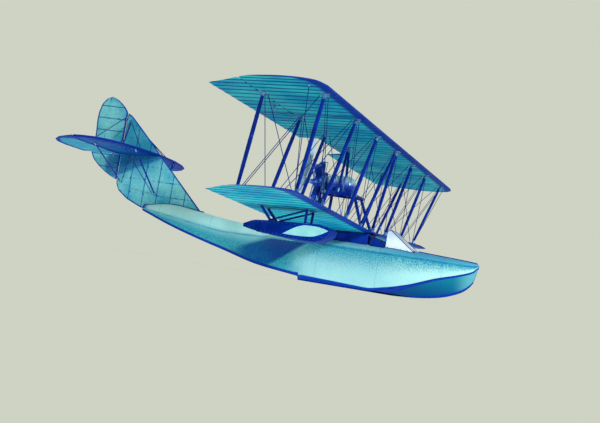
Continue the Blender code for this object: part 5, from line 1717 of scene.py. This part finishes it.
# Controls, hinges and horns
def make_controls():
    steel = Batch()
    steel.turned(((0.16, 0.045), (0.166, 0.045), (0.172, 0.034), (0.2, 0.02), (0.205, 0.0165),
                  (0.66, 0.015)), (2.69, 0.0, 0.0), UP, 24)
    steel.turned(((2.612, 0.014), (2.618, 0.024), (2.64, 0.024), (2.645, 0.019), (2.7, 0.018),
                  (2.706, 0.014)), (0.0, 0.0, 0.66), AXLE, 24)
    for turn in range(4):
        angle = radians(90.0 * turn)
        out = vec(0.0, cos(angle), sin(angle))
        centre = vec(2.63, 0.0, 0.66)
        steel.tube([centre + out * reach for reach in (0.018, 0.07, 0.12)], [0.0085, 0.0065, 0.008], 10)
    steel.turned(((0.16, 0.036), (0.168, 0.036), (0.172, 0.02), (0.272, 0.018), (0.282, 0.018),
                  (0.286, 0.01)), (2.76, 0.0, 0.0), UP, 24)
    steel.make("control_steelwork", "steel", "control_column rudder_bar", 40.0)
    grips = Batch()
    ring = []
    radii = []
    for step in range(96):
        angle = tau * step / 96
        ring.append((2.63, 0.124 * cos(angle), 0.66 + 0.124 * sin(angle)))
        radii.append(0.012 if step % 2 else 0.0108)
    grips.tube(ring, radii, 12, loop=True)
    for side in (1.0, -1.0):
        grips.tube([(2.76, side * y, 0.26) for y in (0.165, 0.17, 0.215, 0.265, 0.27)],
                   [0.014, 0.0195, 0.0185, 0.0195, 0.014], 14)
    grips.make("control_grips", "leather", "control_column rudder_bar", 60.0)
    bar = Batch()
    bar.tube([(2.76, y, 0.26) for y in (-0.268, -0.12, 0.0, 0.12, 0.268)],
             [0.012, 0.0145, 0.0165, 0.0145, 0.012], 14)
    bar.make("rudder_bar_wood", "floor", "rudder_bar", 60.0)


def hinge(fixed, pins, at, along, distance):
    """A lug on the fixed piece, and the pin through it."""
    at = Vector(at)
    along = Vector(along)
    across = along.cross(Vector(AXLE))
    outline = [(distance + 0.012, 0.0125)]
    for step in range(13):
        turn = pi * step / 12
        outline.append((-sin(turn) * 0.0125, cos(turn) * 0.0125))
    outline.append((distance + 0.012, -0.0125))
    fixed.slab(outline, -0.0058, 0.0058, lambda u, v, w: at + Vector(AXLE) * u + across * v + along * w,
               0.001)
    pins.tube([at - along * 0.026, at + along * 0.026], 0.0058, 14)


def horn(batch, place, reach):
    """A control horn on both faces of a surface. place turns chordwise, normal, spanwise into a point."""
    for way in (1.0, -1.0):
        outline = ((-0.15, 0.004), (-0.105, 0.03), (-0.062, reach - 0.014), (-0.052, reach - 0.004),
                   (-0.04, reach - 0.004), (-0.033, reach - 0.014), (-0.03, 0.03), (-0.028, 0.004))
        batch.slab(outline, -0.003, 0.003, lambda u, v, w: place(u, way * v, w), 0.001)
        eye = place(-0.047, way * (reach - 0.014), 0.0)
        side = (place(-0.047, way * (reach - 0.014), 0.01) - eye).normalized()
        batch.tube([eye - side * 0.008, eye + side * 0.008], 0.0055, 12)
        batch.box(place(-0.088, way * 0.02, 0.0), (0.11, 0.03, 0.006), edge=0.002)


def make_hinges():
    fixed = Batch()
    pins = Batch()
    for z in RUDDER_HINGES:
        hinge(fixed, pins, (RUDDER_X, 0.0, z), UP, 0.025)
    rudder_horn = Batch()
    horn(rudder_horn, lambda u, v, w: vec(RUDDER_X + u, v, 1.8 + w), 0.125)
    rudder_horn.make("rudder_horn", "steel", body="rudder")
    for side, end in SIDES:
        for y in AILERON_HINGES:
            hinge(fixed, pins, (AILERON_X, side * y, 2.799), (0.0, 1.0, 0.0), 0.02)
        for y in ELEVATOR_HINGES:
            hinge(fixed, pins, (ELEVATOR_X, side * y, TAIL_Z), (0.0, 1.0, 0.0), 0.016)
        batch = Batch()
        horn(batch, lambda u, v, w: vec(AILERON_X + u, side * 4.4 + w, 2.796 + u * INCIDENCE + v), 0.15)
        batch.make("aileron_horn_" + end, "steel", body="aileron_" + end)
        batch = Batch()
        horn(batch, lambda u, v, w: vec(ELEVATOR_X + u, side * 0.42 + w, TAIL_Z + u * TAIL_TILT + v), 0.125)
        batch.make("elevator_horn_" + end, "steel", body="elevator_" + end)
    fixed.make("hinge_lugs", "wire")
    pins.make("hinge_pins", "wire")


TAIL_STRUTS = (
    ("tail_strut_front", (-2.63, 1.25), (-2.8, 1.0), -1.0),
    ("tail_strut_rear", (-3.5, 1.45), (-3.38, 1.65), -1.0),
    ("tail_strut_upper", (-3.48, 2.76), (-3.12, 0.95), 1.0),
)
TAIL_WIRES = (
    ((-3.555, 2.86), (-3.25, 1.95)),
    ((-3.5, 2.78), (-2.82, 0.7)),
    ((-3.46, 1.42), (-2.84, 1.06)),
    ((-2.72, 1.3), (-2.9, 1.3)),
)


def make_tail_struts():
    sockets = Batch()
    lines = Batch()
    for side, end in SIDES:
        for name, (foot_x, foot_z), (head_x, head_y), way in TAIL_STRUTS:
            foot = (foot_x, side * 0.03, foot_z)
            head = (head_x, side * head_y, tail_z(head_x) + way * 0.0216)
            make_strut(name + "_wood_" + end, name + "_" + end, foot, head, (0.04, 0.021), sockets)
        for (root_x, root_z), (x, y) in TAIL_WIRES:
            head_z = tail_z(x) + (0.021 if root_z > TAIL_Z else -0.021)
            wire(lines, sockets, (root_x, side * 0.03, root_z), (x, side * y, head_z), 0.008, 0.11)
    lines.make("tail_wires", "wire")
    sockets.make("tail_fittings", "steel")


def main():
    for make in (make_upper_panel, make_lower_panel):
        for side, end in SIDES:
            make(side, end)
    make_centre(UPPER, 1.05, 1.0, 7, "upper_wing_centre")
    make_centre(LOWER, 0.85, 0.9, 6, "lower_wing_centre")
    for make in (make_hull, make_hull_trim, make_hump, make_coaming, make_lining, make_panel, make_seats,
                 make_windscreen, make_struts, make_wires, make_fin, make_rudder):
        make()
    for side, end in SIDES:
        make_tailplane(side, end)
    float_steel = Batch()
    for side, end in SIDES:
        make_float_body(side * FLOAT_Y, end)
        make_float_sides(side * FLOAT_Y, end, float_steel)
        make_float_legs(side * FLOAT_Y, end, float_steel)
    float_steel.make("float_fittings", "steel")
    for make in (make_engine, make_propeller, make_tank, make_mount, make_controls, make_hinges,
                 make_tail_struts):
        make()


# Stage, lights and camera
def add_light(name, place, target, power, size, colour):
    lamp = bpy.data.lights.new(name, "AREA")
    lamp.energy = power
    lamp.size = size
    lamp.color = colour
    item = bpy.data.objects.new(name, lamp)
    item.location = place
    item.rotation_euler = (Vector(target) - Vector(place)).to_track_quat("-Z", "Y").to_euler()
    scene.collection.objects.link(item)
    return item


def add_camera():
    yaw = radians(CAMERA["yaw"])
    pitch = radians(CAMERA["pitch"])
    roll = radians(CAMERA["roll"])
    ahead = vec(cos(yaw) * cos(pitch), sin(yaw) * cos(pitch), sin(pitch))
    level = ahead.cross(vec(0.0, 0.0, 1.0)).normalized()
    above = level.cross(ahead)
    right = level * cos(roll) + above * sin(roll)
    up = above * cos(roll) - level * sin(roll)
    lens = bpy.data.cameras.new("camera")
    lens.sensor_width = 36.0
    lens.sensor_fit = "HORIZONTAL"
    lens.lens = CAMERA["focal"] / CAMERA["width"] * 36.0
    lens.clip_end = 400.0
    camera = bpy.data.objects.new("camera", lens)
    place = Matrix((right, up, -ahead)).transposed().to_4x4()
    place.translation = Vector(CAMERA["place"])
    camera.matrix_world = place
    scene.collection.objects.link(camera)
    scene.camera = camera


PALE = (0.62, 0.65, 0.55, 1.0)
FLOOR = {"sides": 96, "radius": 26.0, "z": -0.001, "fade": (3.6, 7.6)}


def add_stage():
    world = bpy.data.worlds.new("studio")
    scene.world = world
    world.use_nodes = True
    back = world.node_tree.nodes["Background"]
    back.inputs["Color"].default_value = PALE
    back.inputs["Strength"].default_value = 1.0
    mesh = bpy.data.meshes.new("floor")
    turns = [tau * i / FLOOR["sides"] for i in range(FLOOR["sides"])]
    rim = [(FLOOR["radius"] * cos(turn), FLOOR["radius"] * sin(turn), FLOOR["z"]) for turn in turns]
    mesh.from_pydata(rim, [], [tuple(range(len(rim)))])
    floor = bpy.data.objects.new("floor", mesh)
    scene.collection.objects.link(floor)
    look = Look("floor_paper", rough=0.9)
    paper = look.blend(look.noise(0.8, 3.0), 0.3, 0.7, (202, 205, 191), (197, 200, 186))
    mesh.materials.append(look.done(paper))
    away = look.node("ShaderNodeVectorMath", {0: look.here}, operation="LENGTH")
    fade = look.band(away.outputs["Value"], *FLOOR["fade"], 1.0, 0.0)
    look.put(look.shader.inputs["Alpha"], fade)
    add_light("key", (21.0, -17.5, 11.5), (0.2, -0.3, 0.8), 5600.0, 2.2, (0.97, 0.99, 1.0))
    add_light("fill", (4.0, -16.0, 1.5), (0.2, -1.0, 1.6), 160.0, 6.0, (0.9, 0.97, 1.0))
    add_light("rim", (-10.0, 9.0, 9.0), (0.0, 0.0, 1.5), 500.0, 5.0, (0.95, 0.98, 1.0))
    bounce = add_light("bounce", (0.0, 0.0, 0.02), (0.0, 0.0, 5.0), 520.0, 15.0, (0.86, 0.97, 1.0))
    bounce.visible_camera = False


add_camera()
main()
add_stage()
